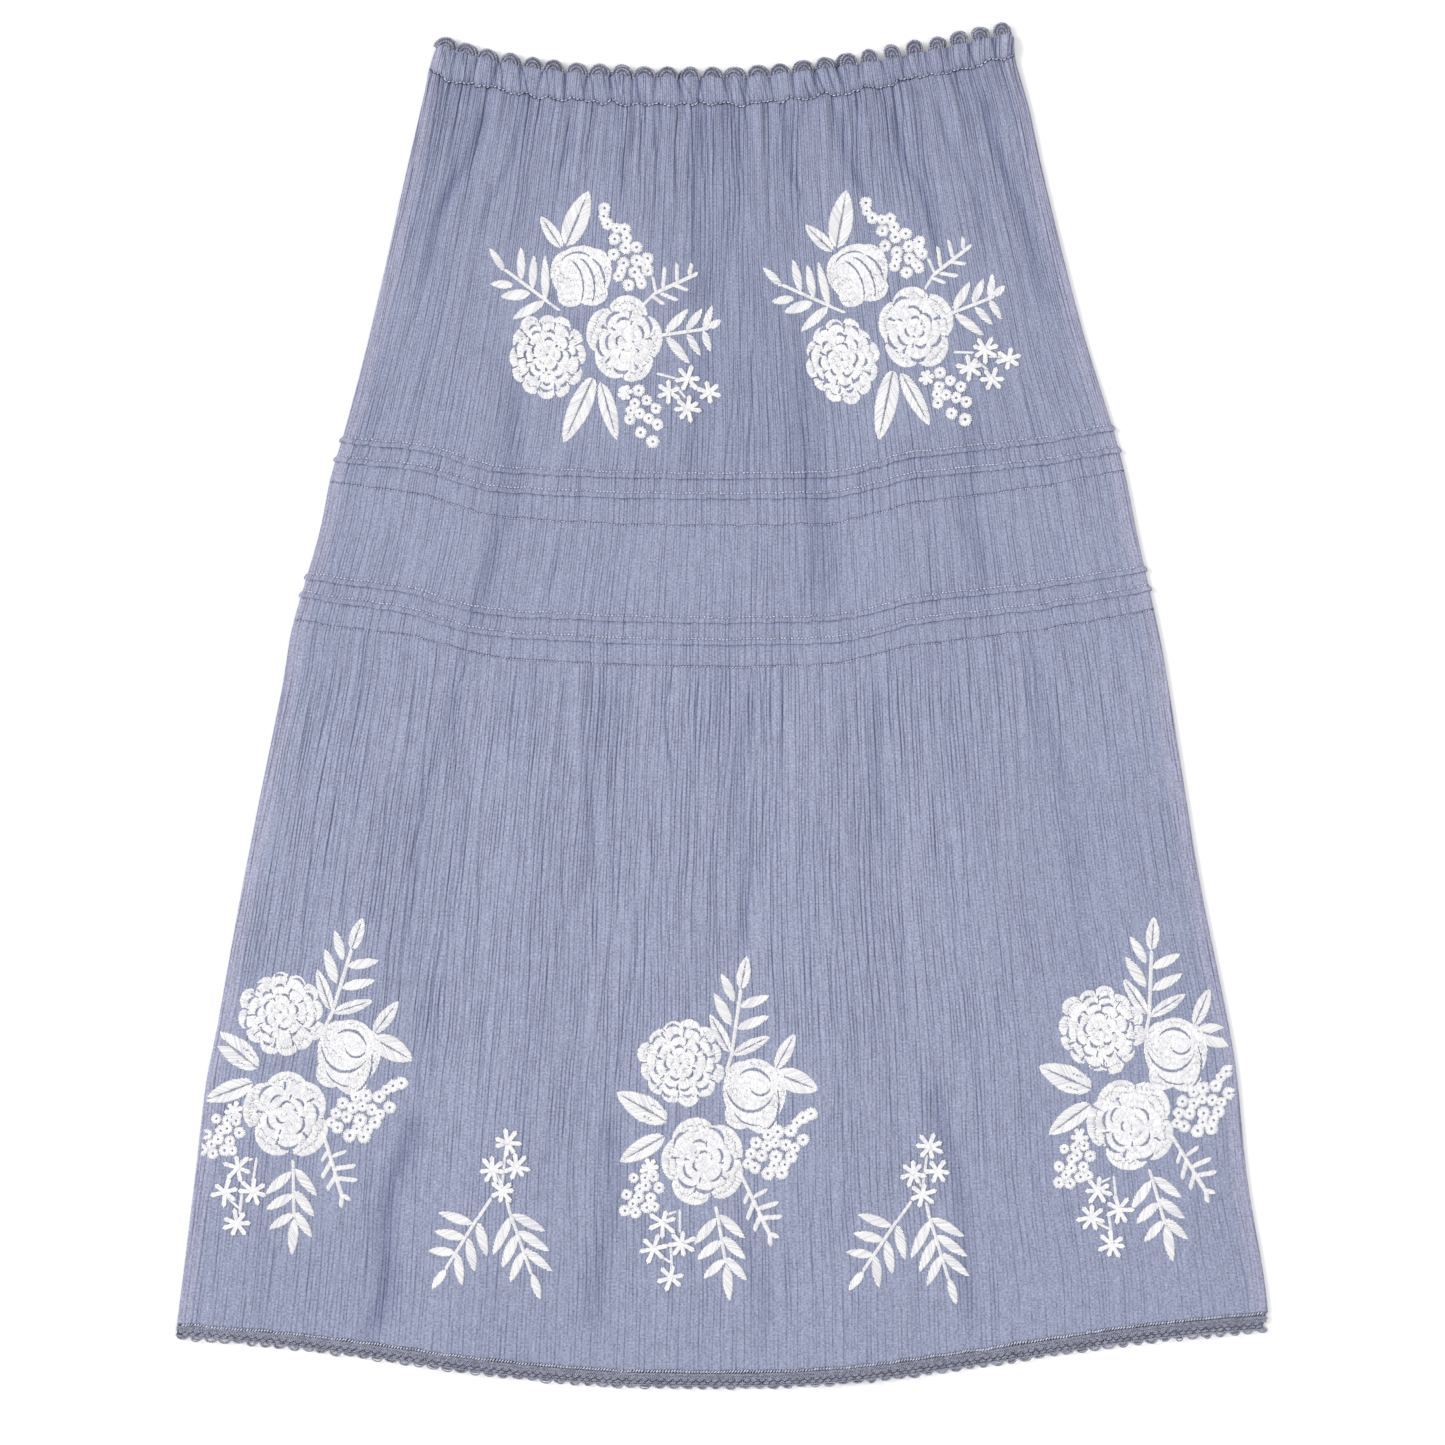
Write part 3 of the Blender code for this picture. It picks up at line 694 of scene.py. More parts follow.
def embroider_rings(needle, middle, size, turn, rings):
    """A flower of overlapping rings of petals, with thin slits left open round the inner ones."""
    random = needle.random
    petals = []
    slits = []
    for ring in rings:
        shift = random.uniform(-0.03, 0.03, 2)
        step = 360 / ring.petals
        for index in range(ring.petals):
            way = turn + ring.turn + index * step + random.uniform(-0.11, 0.11) * step
            spread = 0.61 * step
            outer = ring.outer * random.uniform(0.93, 1.08)
            share = np.linspace(-1, 1, 15)
            rim = spoke(way + spread * share, petal_reach(share, ring.inner, outer))
            foot = spoke(way + spread * share, np.full_like(share, ring.inner))
            petals.append((np.concatenate((rim, foot[::-1])) + shift, way, ring.lift))
            if random.uniform() < 0.7:
                between_petals = way + 0.5 * step
                reach = np.array((0.72, 0.80, 0.90, 1.02)) * ring.outer
                half = np.degrees(0.5 * ring.slit * np.array((0.0, 0.7, 0.8, 0.9)) / size[0] / ring.outer)
                sides = spoke(between_petals - half, reach), spoke(between_petals + half, reach)[::-1]
                slits.append(np.concatenate(sides) + shift)
            if ring is not rings[0] and random.uniform() < 0.82:
                start = random.uniform(-0.9, -0.1)
                share = np.linspace(start, start + random.uniform(0.7, 1.0), 9)
                reach = petal_reach(np.clip(share, -1, 1), ring.inner, outer)
                open_by = ring.slit / size[0] * np.sin(np.linspace(0.05, math.pi - 0.05, 9)) ** 0.5
                near = spoke(way + spread * share, reach)
                far = spoke(way + spread * share, reach + open_by)
                slits.append(np.concatenate((near, far[::-1])) + shift)
    slits = [slit * size + middle for slit in slits]
    for outline, way, lift in petals:
        needle.satin(outline * size + middle, way, lift, slits=slits)


def embroider_bud(needle, middle, size, turn, arcs):
    """A half-open bud: round petals wrapped over each other, with thin slits along their edges."""
    slits = []
    for arc in arcs:
        angles = np.linspace(arc.start, arc.end, 11)
        open_by = 1.5 * np.sin(np.linspace(0.05, math.pi - 0.05, 11)) ** 0.5 / size[0]
        half = np.array((arc.across, arc.down))
        sides = spoke(angles, 1.0), spoke(angles, 1.0 + open_by / half[0])[::-1]
        slit = np.concatenate(sides) * half + np.array((arc.x, arc.y))
        slits.append(turned(slit, turn) * size + middle)
    for index, petal in enumerate(BUD_PETALS):
        oval = spoke(np.linspace(0, 360, 28, endpoint=False), 1.0) * np.array((petal.across, petal.down))
        outline = turned(turned(oval, petal.turn) + np.array((petal.x, petal.y)), turn)
        way = turn + 90 + 22 * math.sin(2.3 * index)
        needle.satin(outline * size + middle, way, 0.04 * index, 5.0, slits)


# What works each kind of flower, and its rings of petals or its slits
FLOWER_KINDS = {
    "rose": (embroider_rings, ROSE_RINGS),
    "peony": (embroider_rings, PEONY_RINGS),
    "bud": (embroider_bud, BUD_SLITS),
    "half_rose": (embroider_bud, HALF_ROSE_SLITS),
}


def embroider_leaf(needle, base, tip, breadth):
    """A pointed leaf of slanted stitches, in two halves with a fine vein if it is broad."""
    along = tip - base
    angle = math.degrees(math.atan2(along[1], along[0]))
    length = float(np.hypot(*along))
    share = np.linspace(0, 1, 13)
    swell = np.sin(math.pi * share**0.88) ** 0.66 * breadth / 2
    vein = 0.42 * np.sin(math.pi * share) * (0.8 + 0.4 * np.sin(19 * share))
    halves = ((swell, vein, 38), (-swell, -vein, -38))
    if breadth < VEINED_BREADTH:
        halves = ((swell, -swell, 32),)
    for rim, inner, slant in halves:
        outline = np.concatenate((
            np.stack((share * length, rim), axis=1),
            np.stack((share * length, inner), axis=1)[::-1],
        ))
        needle.satin(turned(outline, angle) + base, angle + slant, longest=14)


def embroider_berry(needle, middle, radius):
    """A berry: a ring of short stitches round a small ragged hole."""
    radius = 1.1 * radius
    count = max(9, round(4.4 * radius))
    start = needle.random.uniform(0, 1)
    for index in range(count):
        angle = 2 * math.pi * (index + start) / count
        way = np.array((math.cos(angle), math.sin(angle)))
        reach = radius * needle.random.uniform(0.90, 1.10)
        hole = radius * needle.random.uniform(0.10, 0.24)
        needle.stitch(middle + way * hole, middle + way * reach, 1.35, 0.1)


def embroider_star(needle, middle, radius):
    """A small star flower: uneven thick rays from one centre."""
    rays = int(needle.random.integers(6, 8))
    start = needle.random.uniform(0, 360)
    for index in range(rays):
        angle = math.radians(start + index * 360 / rays + needle.random.uniform(-9, 9))
        way = np.array((math.cos(angle), math.sin(angle)))
        side = np.array((-way[1], way[0]))
        reach = radius * needle.random.uniform(0.95, 1.25)
        for offset in (-1.0, 0.0, 1.0):
            root = middle - way * 0.9 + side * offset * 0.6
            third = (middle + way * reach * (1 - 0.10 * abs(offset)) + side * offset - root) / 3
            for part in range(3):
                # No two tops lie in one plane, where they would darken each other
                lift = 0.12 + 0.06 * index + 0.05 * (offset + 1) + 0.02 * part
                needle.stitch(root + third * (part - 0.1), root + third * (part + 1.1), 1.75, lift)


def embroider(position, seed, pitch):
    """All the stitches of one placed design, and the round places that it keeps smooth."""
    design = position.design
    needle = Needle(seed, pitch)
    calm = []
    for row in design.strokes:
        start = charted(design, row.start_x, row.start_y)
        end = charted(design, row.end_x, row.end_y)
        needle.stroke(start, end, STROKE_FULLNESS * row.breadth * STEP / MM)
        calm.append((*((start + end) / 2), 7.0))
    for row in design.leaves:
        base = charted(design, row.base_x, row.base_y)
        tip = charted(design, row.tip_x, row.tip_y)
        embroider_leaf(needle, base, tip, row.breadth * STEP / MM)
        calm.append((*((base + tip) / 2), 0.5 * float(np.hypot(*(tip - base))) + 3.0))
    for rows, work, reach in ((design.berries, embroider_berry, 7.0), (design.stars, embroider_star, 9.0)):
        for row in rows:
            middle = charted(design, row.x, row.y)
            work(needle, middle, row.size * STEP / MM)
            calm.append((*middle, reach))
    for row in design.flowers:
        middle = charted(design, row.x, row.y)
        size = np.array((row.across, row.down)) * STEP / MM / 2
        work, parts = FLOWER_KINDS[row.kind]
        work(needle, middle, size, row.turn, parts)
        calm.append((*middle, float(size.max()) + 4.0))
    anchor = np.array((position.x - CHART_MIDDLE_X, CHART_MIDDLE_Y - position.y)) * STEP
    ends = turned(np.array(needle.ends).reshape(-1, 2, 2), position.turn) * MM + anchor
    calm = np.array(calm)
    spots = turned(calm[:, :2], position.turn) * MM + anchor
    return ends, np.array(needle.widths) * MM, np.array(needle.lifts) * MM, (spots, calm[:, 2] * MM)


def calm_at(x, y, spots):
    """How much the embroidery smooths the cloth under and beside it, from 0 to 1."""
    calm = np.zeros_like(x)
    for middles, radii in spots:
        for (middle_x, middle_y), radius in zip(middles, radii):
            away = np.hypot(x - middle_x, y - middle_y)
            calm = np.maximum(calm, 1 - ease((away - 0.8 * radius) / (6 * MM)))
    return calm


# Meshes and pieces


def stitch_shape():
    """The points and triangles of one stitch: a low three-sided spindle along X, 1 long each way,
    flat below and ridged above."""
    mesh = bmesh.new()
    bmesh.ops.create_uvsphere(mesh, u_segments=3, v_segments=3, radius=1.0)
    bmesh.ops.triangulate(mesh, faces=mesh.faces)
    mesh.verts.ensure_lookup_table()
    points = np.array([vertex.co for vertex in mesh.verts])
    faces = np.array([[vertex.index for vertex in face.verts] for face in mesh.faces])
    mesh.free()
    along = np.sign(points[:, 2]) * np.abs(points[:, 2]) ** 0.45
    return np.stack((along, points[:, 0] * 1.22, points[:, 1] * 0.85), axis=1), faces


def finish_piece(name, data, material, *replaced):
    """Put a finished mesh into the scene as a piece that rides on the skirt."""
    data.materials.append(material)
    data.shade_smooth()
    piece = bpy.data.objects.new(name, data)
    bpy.context.scene.collection.objects.link(piece)
    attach(piece, "root")
    if replaced:
        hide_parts(*replaced)
    return piece


def sew(name, starts, ends, widths, heights, material, *replaced):
    """Join one stitch for each start and end point into one piece."""
    points, faces = stitch_shape()
    along = ends - starts
    lengths = np.linalg.norm(along, axis=1, keepdims=True)
    along = along / lengths
    side = np.stack((-along[:, 1], along[:, 0], np.zeros(len(along))), axis=1)
    side /= np.linalg.norm(side, axis=1, keepdims=True)
    rise = np.cross(along, side)
    middles = (starts + ends) / 2
    placed = middles[:, None] + along[:, None] * (points[:, 0] * lengths / 2)[..., None]
    placed += side[:, None] * (points[:, 1] * np.asarray(widths)[:, None] / 2)[..., None]
    placed += rise[:, None] * (points[:, 2] * np.asarray(heights)[:, None] / 2)[..., None]
    joined = faces[None] + (np.arange(len(starts)) * len(points))[:, None, None]
    data = bpy.data.meshes.new(name)
    data.from_pydata(placed.reshape(-1, 3).tolist(), [], joined.reshape(-1, 3).tolist())
    # A random painted shade for each stitch
    shade = np.random.default_rng(len(starts)).uniform(0, 1, len(starts))
    data.attributes.new("shade", "FLOAT", "POINT").data.foreach_set("value", np.repeat(shade, len(points)))
    return finish_piece(name, data, material, *replaced)


def columns_across(count):
    """Shares across the skirt for each column of a cloth, closer together where the sides roll."""
    roll = ROLL_SHARE * (1 - np.cos(np.linspace(0, math.pi / 2, ROLL_COLUMNS, endpoint=False)))
    middle = np.linspace(-1 + ROLL_SHARE, 1 - ROLL_SHARE, count - 2 * ROLL_COLUMNS)
    return np.concatenate((-1 + roll, middle, 1 - roll[::-1]))


def spread_rows(upper, lower, count):
    """Evenly spaced rows from one line to another, without the last."""
    return [(between(upper, lower, index / count), 0.0, 0.0, 0.0) for index in range(count)]


def rows_beside(line, rows, way=1):
    """The rows of a tuck or seam, from a line downwards, or upwards if way is -1."""
    listed = [(lowered(line, way * row.drop), row.raised, row.stand_out, row.shade) for row in rows]
    return listed if way == 1 else listed[::-1]


def tier_rows(tier, counts):
    """The rows of a tier: its upper seam, its pin tucks and the plain cloth between, its lower seam."""
    top = lowered(tier.top, TIER_GAP)
    bottom = lowered(tier.bottom, -TIER_GAP)
    rows = rows_beside(top, SEAM_ROWS)
    last = lowered(top, BELOW_SEAM)
    for tuck, count in zip(tier.tucks, counts):
        rows += spread_rows(last, lowered(tuck, -ABOVE_TUCK), count)
        rows += rows_beside(tuck, TUCK_ROWS)
        last = lowered(tuck, BELOW_TUCK)
    rows += spread_rows(last, lowered(bottom, -ABOVE_SEAM), counts[-1])
    return rows + rows_beside(bottom, SEAM_ROWS, -1)


def lay_cloth(name, rows, columns, lie, facing_up, material, *replaced):
    """One piece of cloth: a grid whose rows follow the given lines. lie gets the shares across, the
    points, how much each row is raised and its number, and gives y, z and the painted shade of its
    troughs, creases and folds."""
    mesh = bmesh.new()
    bmesh.ops.create_grid(mesh, x_segments=len(columns) - 1, y_segments=len(rows) - 1, size=1.0)
    if not facing_up:
        bmesh.ops.reverse_faces(mesh, faces=mesh.faces)
    data = bpy.data.meshes.new(name)
    mesh.to_mesh(data)
    mesh.free()
    flat = np.empty(len(data.vertices) * 3)
    data.vertices.foreach_get("co", flat)
    flat = flat.reshape(-1, 3)
    column = np.rint((flat[:, 0] + 1) / 2 * (len(columns) - 1)).astype(int)
    row = np.rint((1 - flat[:, 1]) / 2 * (len(rows) - 1)).astype(int)
    lines = np.array([entry[0] for entry in rows])[row]
    raised, stand_out, shade = np.array([entry[1:] for entry in rows]).T[:, row]
    across = columns[column]
    x, y = place(lines, across, stand_out * MM)
    y, z, trough = lie(across, x, y, raised * MM, row)
    # Painted shadow under the pin tucks' folds, at the casing's stitching and along the seams, broken into
    # pits
    trough = trough + shade * (0.9 + 0.7 * noise(91, across * CRINKLE_HALF_WIDTH, 0 * x, 3.0, 10))
    data.vertices.foreach_set("co", np.stack((x, y, z), axis=1).ravel())
    data.update()
    corners = np.empty(len(data.loops), int)
    data.loops.foreach_get("vertex_index", corners)
    spread = np.stack((across * CRINKLE_HALF_WIDTH * MM, -y), axis=1)
    data.uv_layers.new(name="cloth").data.foreach_set("uv", spread[corners].ravel())
    left, right = side_at(y)
    inset = (1 - np.abs(across)) * (right - left) / 2
    # trough carries the painted shade, crinkled the strength of the painted crinkle lines, and the side
    # strip the painted light and shade of the side folds
    for attribute, values in (
        ("trough", trough),
        ("crinkled", 0.35 + 0.65 * crinkled(across, y)),
        ("side_painted_light_strip", 1 - ease((inset - SIDE_STRIP) / SIDE_STRIP_FADE)),
    ):
        data.attributes.new(attribute, "FLOAT", "POINT").data.foreach_set("value", values)
    return finish_piece(name, data, material, *replaced)


def front_cloth(spots, depth, pitch):
    """How the front lies: folds, gathers, creases and crinkle, smoother beside the embroidery, and the
    painted shade that its troughs, creases and gathers get.
    """

    def lie(across, x, y, raised, row):
        below = line_height(CASING_STITCH, across) - y
        y = y + waver(across, y) + pucker(across) * (1 - ease(below / (14 * MM)))
        trough, ridge = crinkle(11, pitch, across, y)
        pleats = noise(31, across * CRINKLE_HALF_WIDTH, -y / MM, 6.0, 150)
        below_casing = np.exp(-np.clip(below, 0, None) / (48 * MM))
        upper_tier = ease((y - 120 * MM) / (60 * MM))
        middle_gathers = np.exp(-(((across - 0.07) / 0.17) ** 2)) * upper_tier
        below_seam = (line_height(SEAM_F, across) - y) / (75 * MM)
        below_seam = np.where(below_seam > 0, np.exp(-below_seam), 0.0)
        calm = calm_at(x, y, spots)
        fullness = 1 + 1.1 * below_casing + 0.45 * below_seam + 0.25 * middle_gathers
        fullness = fullness * (1 - 0.75 * calm)
        creases = crease_depth(FRONT_CREASES, across, y)
        top = front_top(across, y) + raised
        top += depth * (0.25 * ridge - trough) * fullness - creases * (1 - 0.6 * calm)
        top += 0.6 * MM * pleats * below_casing + 0.35 * MM * pleats * below_seam
        # Painted shade, darker in the crinkle troughs and creases, among the dense middle gathers, under the
        # casing and towards its sides; painted light on the pleats' crests under the casing. It is also
        # darker where the crinkle is weaker.
        painted_shade = (0.78 - 0.15 * below_casing) * trough * fullness + 0.45 * creases / MM
        painted_shade -= 0.14 * pleats * below_casing
        painted_shade += 0.16 * middle_gathers + 0.35 * (1 - crinkled(across, y)) + 0.12 * below_casing
        painted_shade += np.abs(across) * (0.13 * below_casing + 0.05 * upper_tier)
        return y, rolled(across, top, ROLL_FLOOR), np.clip(painted_shade, 0, 1.4)

    return lie


def back_cloth(depth):
    """How the back lies: pressed flat under its own weight, with its crinkle and creases upward."""

    def lie(across, x, y, raised, row):
        trough, ridge = crinkle(51, 5.5, across, y)
        creases = crease_depth(BACK_CREASES, across, y)
        under = 0.50 * MM - 0.33 * np.clip(raised, -0.9 * MM, None)
        under += depth * (0.8 * trough + 0.15 * ridge) + creases
        # Painted shade in the crinkle troughs
        return y, rolled(across, np.clip(under, 0.03 * MM, 1.6 * MM), ROLL_FLOOR), np.clip(trough, 0, 1)

    return lie


# Materials


def add_node(tree, kind, values=(), links=(), **settings):
    """Add a node with its settings, its socket values and the links into its sockets."""
    node = tree.nodes.new(kind)
    for name, value in settings.items():
        setattr(node, name, value)
    for socket, value in values:
        node.inputs[socket].default_value = value
    for socket, source in links:
        tree.links.new(source, node.inputs[socket])
    return node


def new_material(name, roughness, sheen, specular):
    """A material with its shader's plain values set, and that shader."""
    material = bpy.data.materials.new(name)
    material.use_nodes = True
    shader = material.node_tree.nodes["Principled BSDF"]
    for socket, value in (
        ("Roughness", roughness), ("Metallic", 0.0), ("Sheen Weight", sheen), ("Sheen Roughness", 0.5),
        ("Specular IOR Level", specular),
    ):
        shader.inputs[socket].default_value = value
    return material, shader


def crinkle_gauze(name, colour, shadow, side_painted_light, bump):
    """Cotton crepe gauze, woven open from hard-twisted yarn and washed so that it shrinks into
    lengthwise crinkles. To the eye it is quite matt, with painted shade in its troughs and its drawn
    crinkle lines, paler where its ridges thin out, with a fine slubby grain and no shine."""
    material, shader = new_material(name, 0.95, 0.12, 0.15)
    tree = material.node_tree
    cloth = add_node(tree, "ShaderNodeUVMap", uv_map="cloth")
    trough, strength, side = (
        add_node(tree, "ShaderNodeAttribute", attribute_name=attribute).outputs["Fac"]
        for attribute in ("trough", "crinkled", "side_painted_light_strip")
    )
    # Crinkle lines 2.1 mm apart that wander over stretches of about 8 mm by 90 mm; they are painted dark in
    # the colour and bumped in the relief
    line_pitch = 2.1 * MM
    stretched = add_node(
        tree, "ShaderNodeMapping", [("Scale", (1.0, 0.09, 1.0))], [("Vector", cloth.outputs["UV"])],
    )
    lines = add_node(
        tree, "ShaderNodeTexWave",
        [
            ("Scale", 2 * math.pi / 20 / line_pitch), ("Distortion", 6.5), ("Detail", 1.0),
            ("Detail Scale", 0.85),
        ],
        [("Vector", stretched.outputs["Vector"])],
        wave_type="BANDS", bands_direction="X", wave_profile="SIN",
    )
    narrow = add_node(tree, "ShaderNodeMath", [(1, 3.5)], [(0, lines.outputs["Fac"])], operation="POWER")
    # Three noises, with the size of their spots. Each line comes and goes over about 60 mm, the yarn
    # has slubs of 3 mm by 9 mm, and the weave, which has a thread every 0.35 mm, is drawn 1.3 mm
    # apart so that it shows.
    noises = []
    for wide, tall, detail, roughness in (
        (line_pitch, 60 * MM, 1.0, 0.5), (3 * MM, 9 * MM, 3.0, 0.65), (1.3 * MM, 1.3 * MM, 1.0, 0.5),
    ):
        spots = add_node(
            tree, "ShaderNodeMapping", [("Scale", (1 / wide, 1 / tall, 1.0))],
            [("Vector", cloth.outputs["UV"])],
        )
        pattern = add_node(
            tree, "ShaderNodeTexNoise", [("Scale", 1.0), ("Detail", detail), ("Roughness", roughness)],
            [("Vector", spots.outputs["Vector"])],
        )
        noises.append(pattern.outputs["Fac"])
    coming, slubs, weave = noises
    amount = add_node(
        tree, "ShaderNodeMapRange", [("From Min", 0.35), ("From Max", 0.68), ("To Min", 0.10)],
        [("Value", coming)],
    )
    full_lines = add_node(
        tree, "ShaderNodeMath", [], [(0, narrow.outputs["Value"]), (1, amount.outputs["Result"])],
        operation="MULTIPLY",
    )
    drawn = add_node(
        tree, "ShaderNodeMath", [], [(0, full_lines.outputs["Value"]), (1, strength)], operation="MULTIPLY",
    )
    # How much painted shade the modelled troughs and the drawn lines get
    depth = add_node(
        tree, "ShaderNodeMapRange", [("From Max", 1.3), ("To Max", 0.80)], [("Value", trough)],
    )
    lines_depth = add_node(
        tree, "ShaderNodeMapRange", [("From Max", 0.8), ("To Max", 0.66)],
        [("Value", drawn.outputs["Value"])],
    )
    both = add_node(
        tree, "ShaderNodeMath", [], [(0, depth.outputs["Result"]), (1, lines_depth.outputs["Result"])],
        operation="ADD", use_clamp=True,
    )
    # Painted light and shade of the rolled side folds, mixed in along the side strip
    sides = add_node(
        tree, "ShaderNodeMix", [(6, colour), (7, side_painted_light)], [(0, side)], data_type="RGBA",
    )
    shaded = add_node(
        tree, "ShaderNodeMix", [(7, shadow)], [(0, both.outputs["Value"]), (6, sides.outputs[2])],
        data_type="RGBA",
    )
    speckle = add_node(
        tree, "ShaderNodeMath", [(1, 0.5)], [(0, slubs), (2, weave)], operation="MULTIPLY_ADD",
    )
    grain = add_node(
        tree, "ShaderNodeMapRange",
        [("From Min", 0.45), ("From Max", 1.05), ("To Min", 0.63), ("To Max", 1.37)],
        [("Value", speckle.outputs["Value"])],
    )
    toned = add_node(
        tree, "ShaderNodeVectorMath", [], [(0, shaded.outputs[2]), (1, grain.outputs["Result"])],
        operation="MULTIPLY",
    )
    tree.links.new(toned.outputs["Vector"], shader.inputs["Base Color"])
    sunken = add_node(
        tree, "ShaderNodeMath", [(0, 1.0)], [(1, drawn.outputs["Value"])], operation="SUBTRACT",
    )
    height = add_node(
        tree, "ShaderNodeMath", [(1, 0.35)], [(0, weave), (2, sunken.outputs["Value"])],
        operation="MULTIPLY_ADD",
    )
    relief = add_node(
        tree, "ShaderNodeBump", [("Strength", 0.8), ("Distance", bump)],
        [("Height", height.outputs["Value"])],
    )
    tree.links.new(relief.outputs["Normal"], shader.inputs["Normal"])
    return material


def cotton_thread(name, colour, painted_shade, roughness, sheen, specular):
    """Spun cotton thread, two plies twisted. Each stitch gets a random painted shade between the thread's
    colour and its darker tone, for how differently each catches the light, and fine fibres soften its edge."""
    material, shader = new_material(name, roughness, sheen, specular)
    tree = material.node_tree
    shade = add_node(tree, "ShaderNodeAttribute", attribute_name="shade")
    place_node = add_node(tree, "ShaderNodeTexCoord")
    # Plies and fibres about 0.5 mm across
    fibres = add_node(
        tree, "ShaderNodeTexNoise", [("Scale", 1 / (0.5 * MM)), ("Detail", 1.0)],
        [("Vector", place_node.outputs["Object"])],
    )
    tone = add_node(
        tree, "ShaderNodeMath", [(1, 0.4)], [(0, fibres.outputs["Fac"]), (2, shade.outputs["Fac"])],
        operation="MULTIPLY_ADD",
    )
    mixed = add_node(
        tree, "ShaderNodeMix", [(6, painted_shade), (7, colour)], [(0, tone.outputs["Value"])], data_type="RGBA",
    )
    tree.links.new(mixed.outputs[2], shader.inputs["Base Color"])
    relief = add_node(
        tree, "ShaderNodeBump", [("Strength", 0.25), ("Distance", 0.1 * MM)],
        [("Height", fibres.outputs["Fac"])],
    )
    tree.links.new(relief.outputs["Normal"], shader.inputs["Normal"])
    return material


# Settings

# The camera's height above the floor and the width of floor that it sees, in metres, and its sensor's
# width in mm
CAMERA_HEIGHT = 3.0
SEEN_WIDTH = 0.968
CAMERA_SENSOR = 36.0


class SkirtColours(bpy.types.PropertyGroup):
    """Colours of the skirt's cloth and threads."""

    gauze: FloatVectorProperty(
        name="Gauze", description="Crinkled gauze of the tiers",
        default=linear("#989DB4"), size=4, min=0, max=1, subtype="COLOR",
    )
    # Painted shade, mixed into the gauze in its troughs, creases and drawn crinkle lines
    gauze_shadow: FloatVectorProperty(
        name="Gauze troughs", description="Gauze deep in its crinkles",
        default=linear("#5C6281"), size=4, min=0, max=1, subtype="COLOR",
    )
    # Painted light and shade of the rolled side folds, mixed into the gauze along the side strip
    gauze_side_painted_light: FloatVectorProperty(
        name="Gauze sides", description="Gauze along the side edges, where it lies double",
        default=linear("#A5A6BC"), size=4, min=0, max=1, subtype="COLOR",
    )
    crochet: FloatVectorProperty(
        name="Crochet", description="Cotton of the waist edging and the hem lace",
        default=linear("#A3A5B9"), size=4, min=0, max=1, subtype="COLOR",
    )
    sewing: FloatVectorProperty(
        name="Sewing thread", description="Thread of the seams and pin tucks",
        default=linear("#D6DAEC"), size=4, min=0, max=1, subtype="COLOR",
    )
    embroidery: FloatVectorProperty(
        name="Embroidery", description="White cotton of the flowers and leaves",
        default=linear("#F2F1F1"), size=4, min=0, max=1, subtype="COLOR",
    )


class SkirtSizes(bpy.types.PropertyGroup):
    """Sizes of the skirt's crinkle and stitches."""

    crinkle_depth: FloatProperty(
        name="Crinkle depth", description="Depth of the gauze's lengthwise crinkles",
        default=0.55 * MM, min=0.0, max=2 * MM, unit="LENGTH",
    )
    embroidery_pitch: FloatProperty(
        name="Embroidery pitch", description="Distance between the stitches of a fill",
        default=0.85 * MM, min=0.4 * MM, max=3 * MM, unit="LENGTH",
    )
    stitch_length: FloatProperty(
        name="Stitch length", description="Length of one sewing stitch with its gap",
        default=2.3 * MM, min=1 * MM, max=6 * MM, unit="LENGTH",
    )
    picots: IntProperty(
        name="Picots", description="Number of loops along the hem lace", default=78, min=20, max=120,
    )


def thread_dark(colour, share=0.45):
    """The darker tone of a thread: painted shade between its plies and behind other stitches."""
    return (colour[0] * share, colour[1] * share, colour[2] * (share + 0.03), 1.0)


def gauze_material(context, name, bump):
    """The gauze in the scene's colours."""
    colours = context.scene.skirt_colours
    return crinkle_gauze(name, colours.gauze, colours.gauze_shadow, colours.gauze_side_painted_light, bump)


def columns_for(count):
    return columns_across(count)


def planned_embroidery(context):
    """The stitches and smooth places of every placed design."""
    pitch = context.scene.skirt_sizes.embroidery_pitch / MM
    return [(position, embroider(position, 100 + index, pitch)) for index, position in enumerate(PLACES)]


# Operators


class SKIRT_OT_front(bpy.types.Operator):
    """Lay the three gauze tiers of the front, with their pin tucks, folds and crinkle."""

    bl_idname = "skirt.front"
    bl_label = "Front tiers"

    def execute(self, context):
        """Make the three tiers."""
        sizes = context.scene.skirt_sizes
        material = gauze_material(context, "crinkle_gauze", 0.7 * MM)
        spots = [plan[3] for position, plan in planned_embroidery(context)]
        for tier in TIERS:
            name = tier.name + "_front"
            rows = tier_rows(tier, tier.rows)
            lay = front_cloth(spots, sizes.crinkle_depth, tier.pitch)
            piece = lay_cloth(name + "_gauze", rows, columns_for(tier.columns), lay, True, material, name)
        return {"FINISHED"}


class SKIRT_OT_back(bpy.types.Operator):
    """Lay the three gauze tiers of the back, plain and pressed flat."""

    bl_idname = "skirt.back"
    bl_label = "Back tiers"

    def execute(self, context):
        """Make the three tiers."""
        material = gauze_material(context, "back_crinkle_gauze", 0.5 * MM)
        lay = back_cloth(context.scene.skirt_sizes.crinkle_depth)
        for tier in TIERS:
            name = tier.name + "_back"
            rows = tier_rows(tier, tier.back_rows)
            columns = columns_for(tier.back_columns)
            piece = lay_cloth(name + "_gauze", rows, columns, lay, False, material, name)
        return {"FINISHED"}


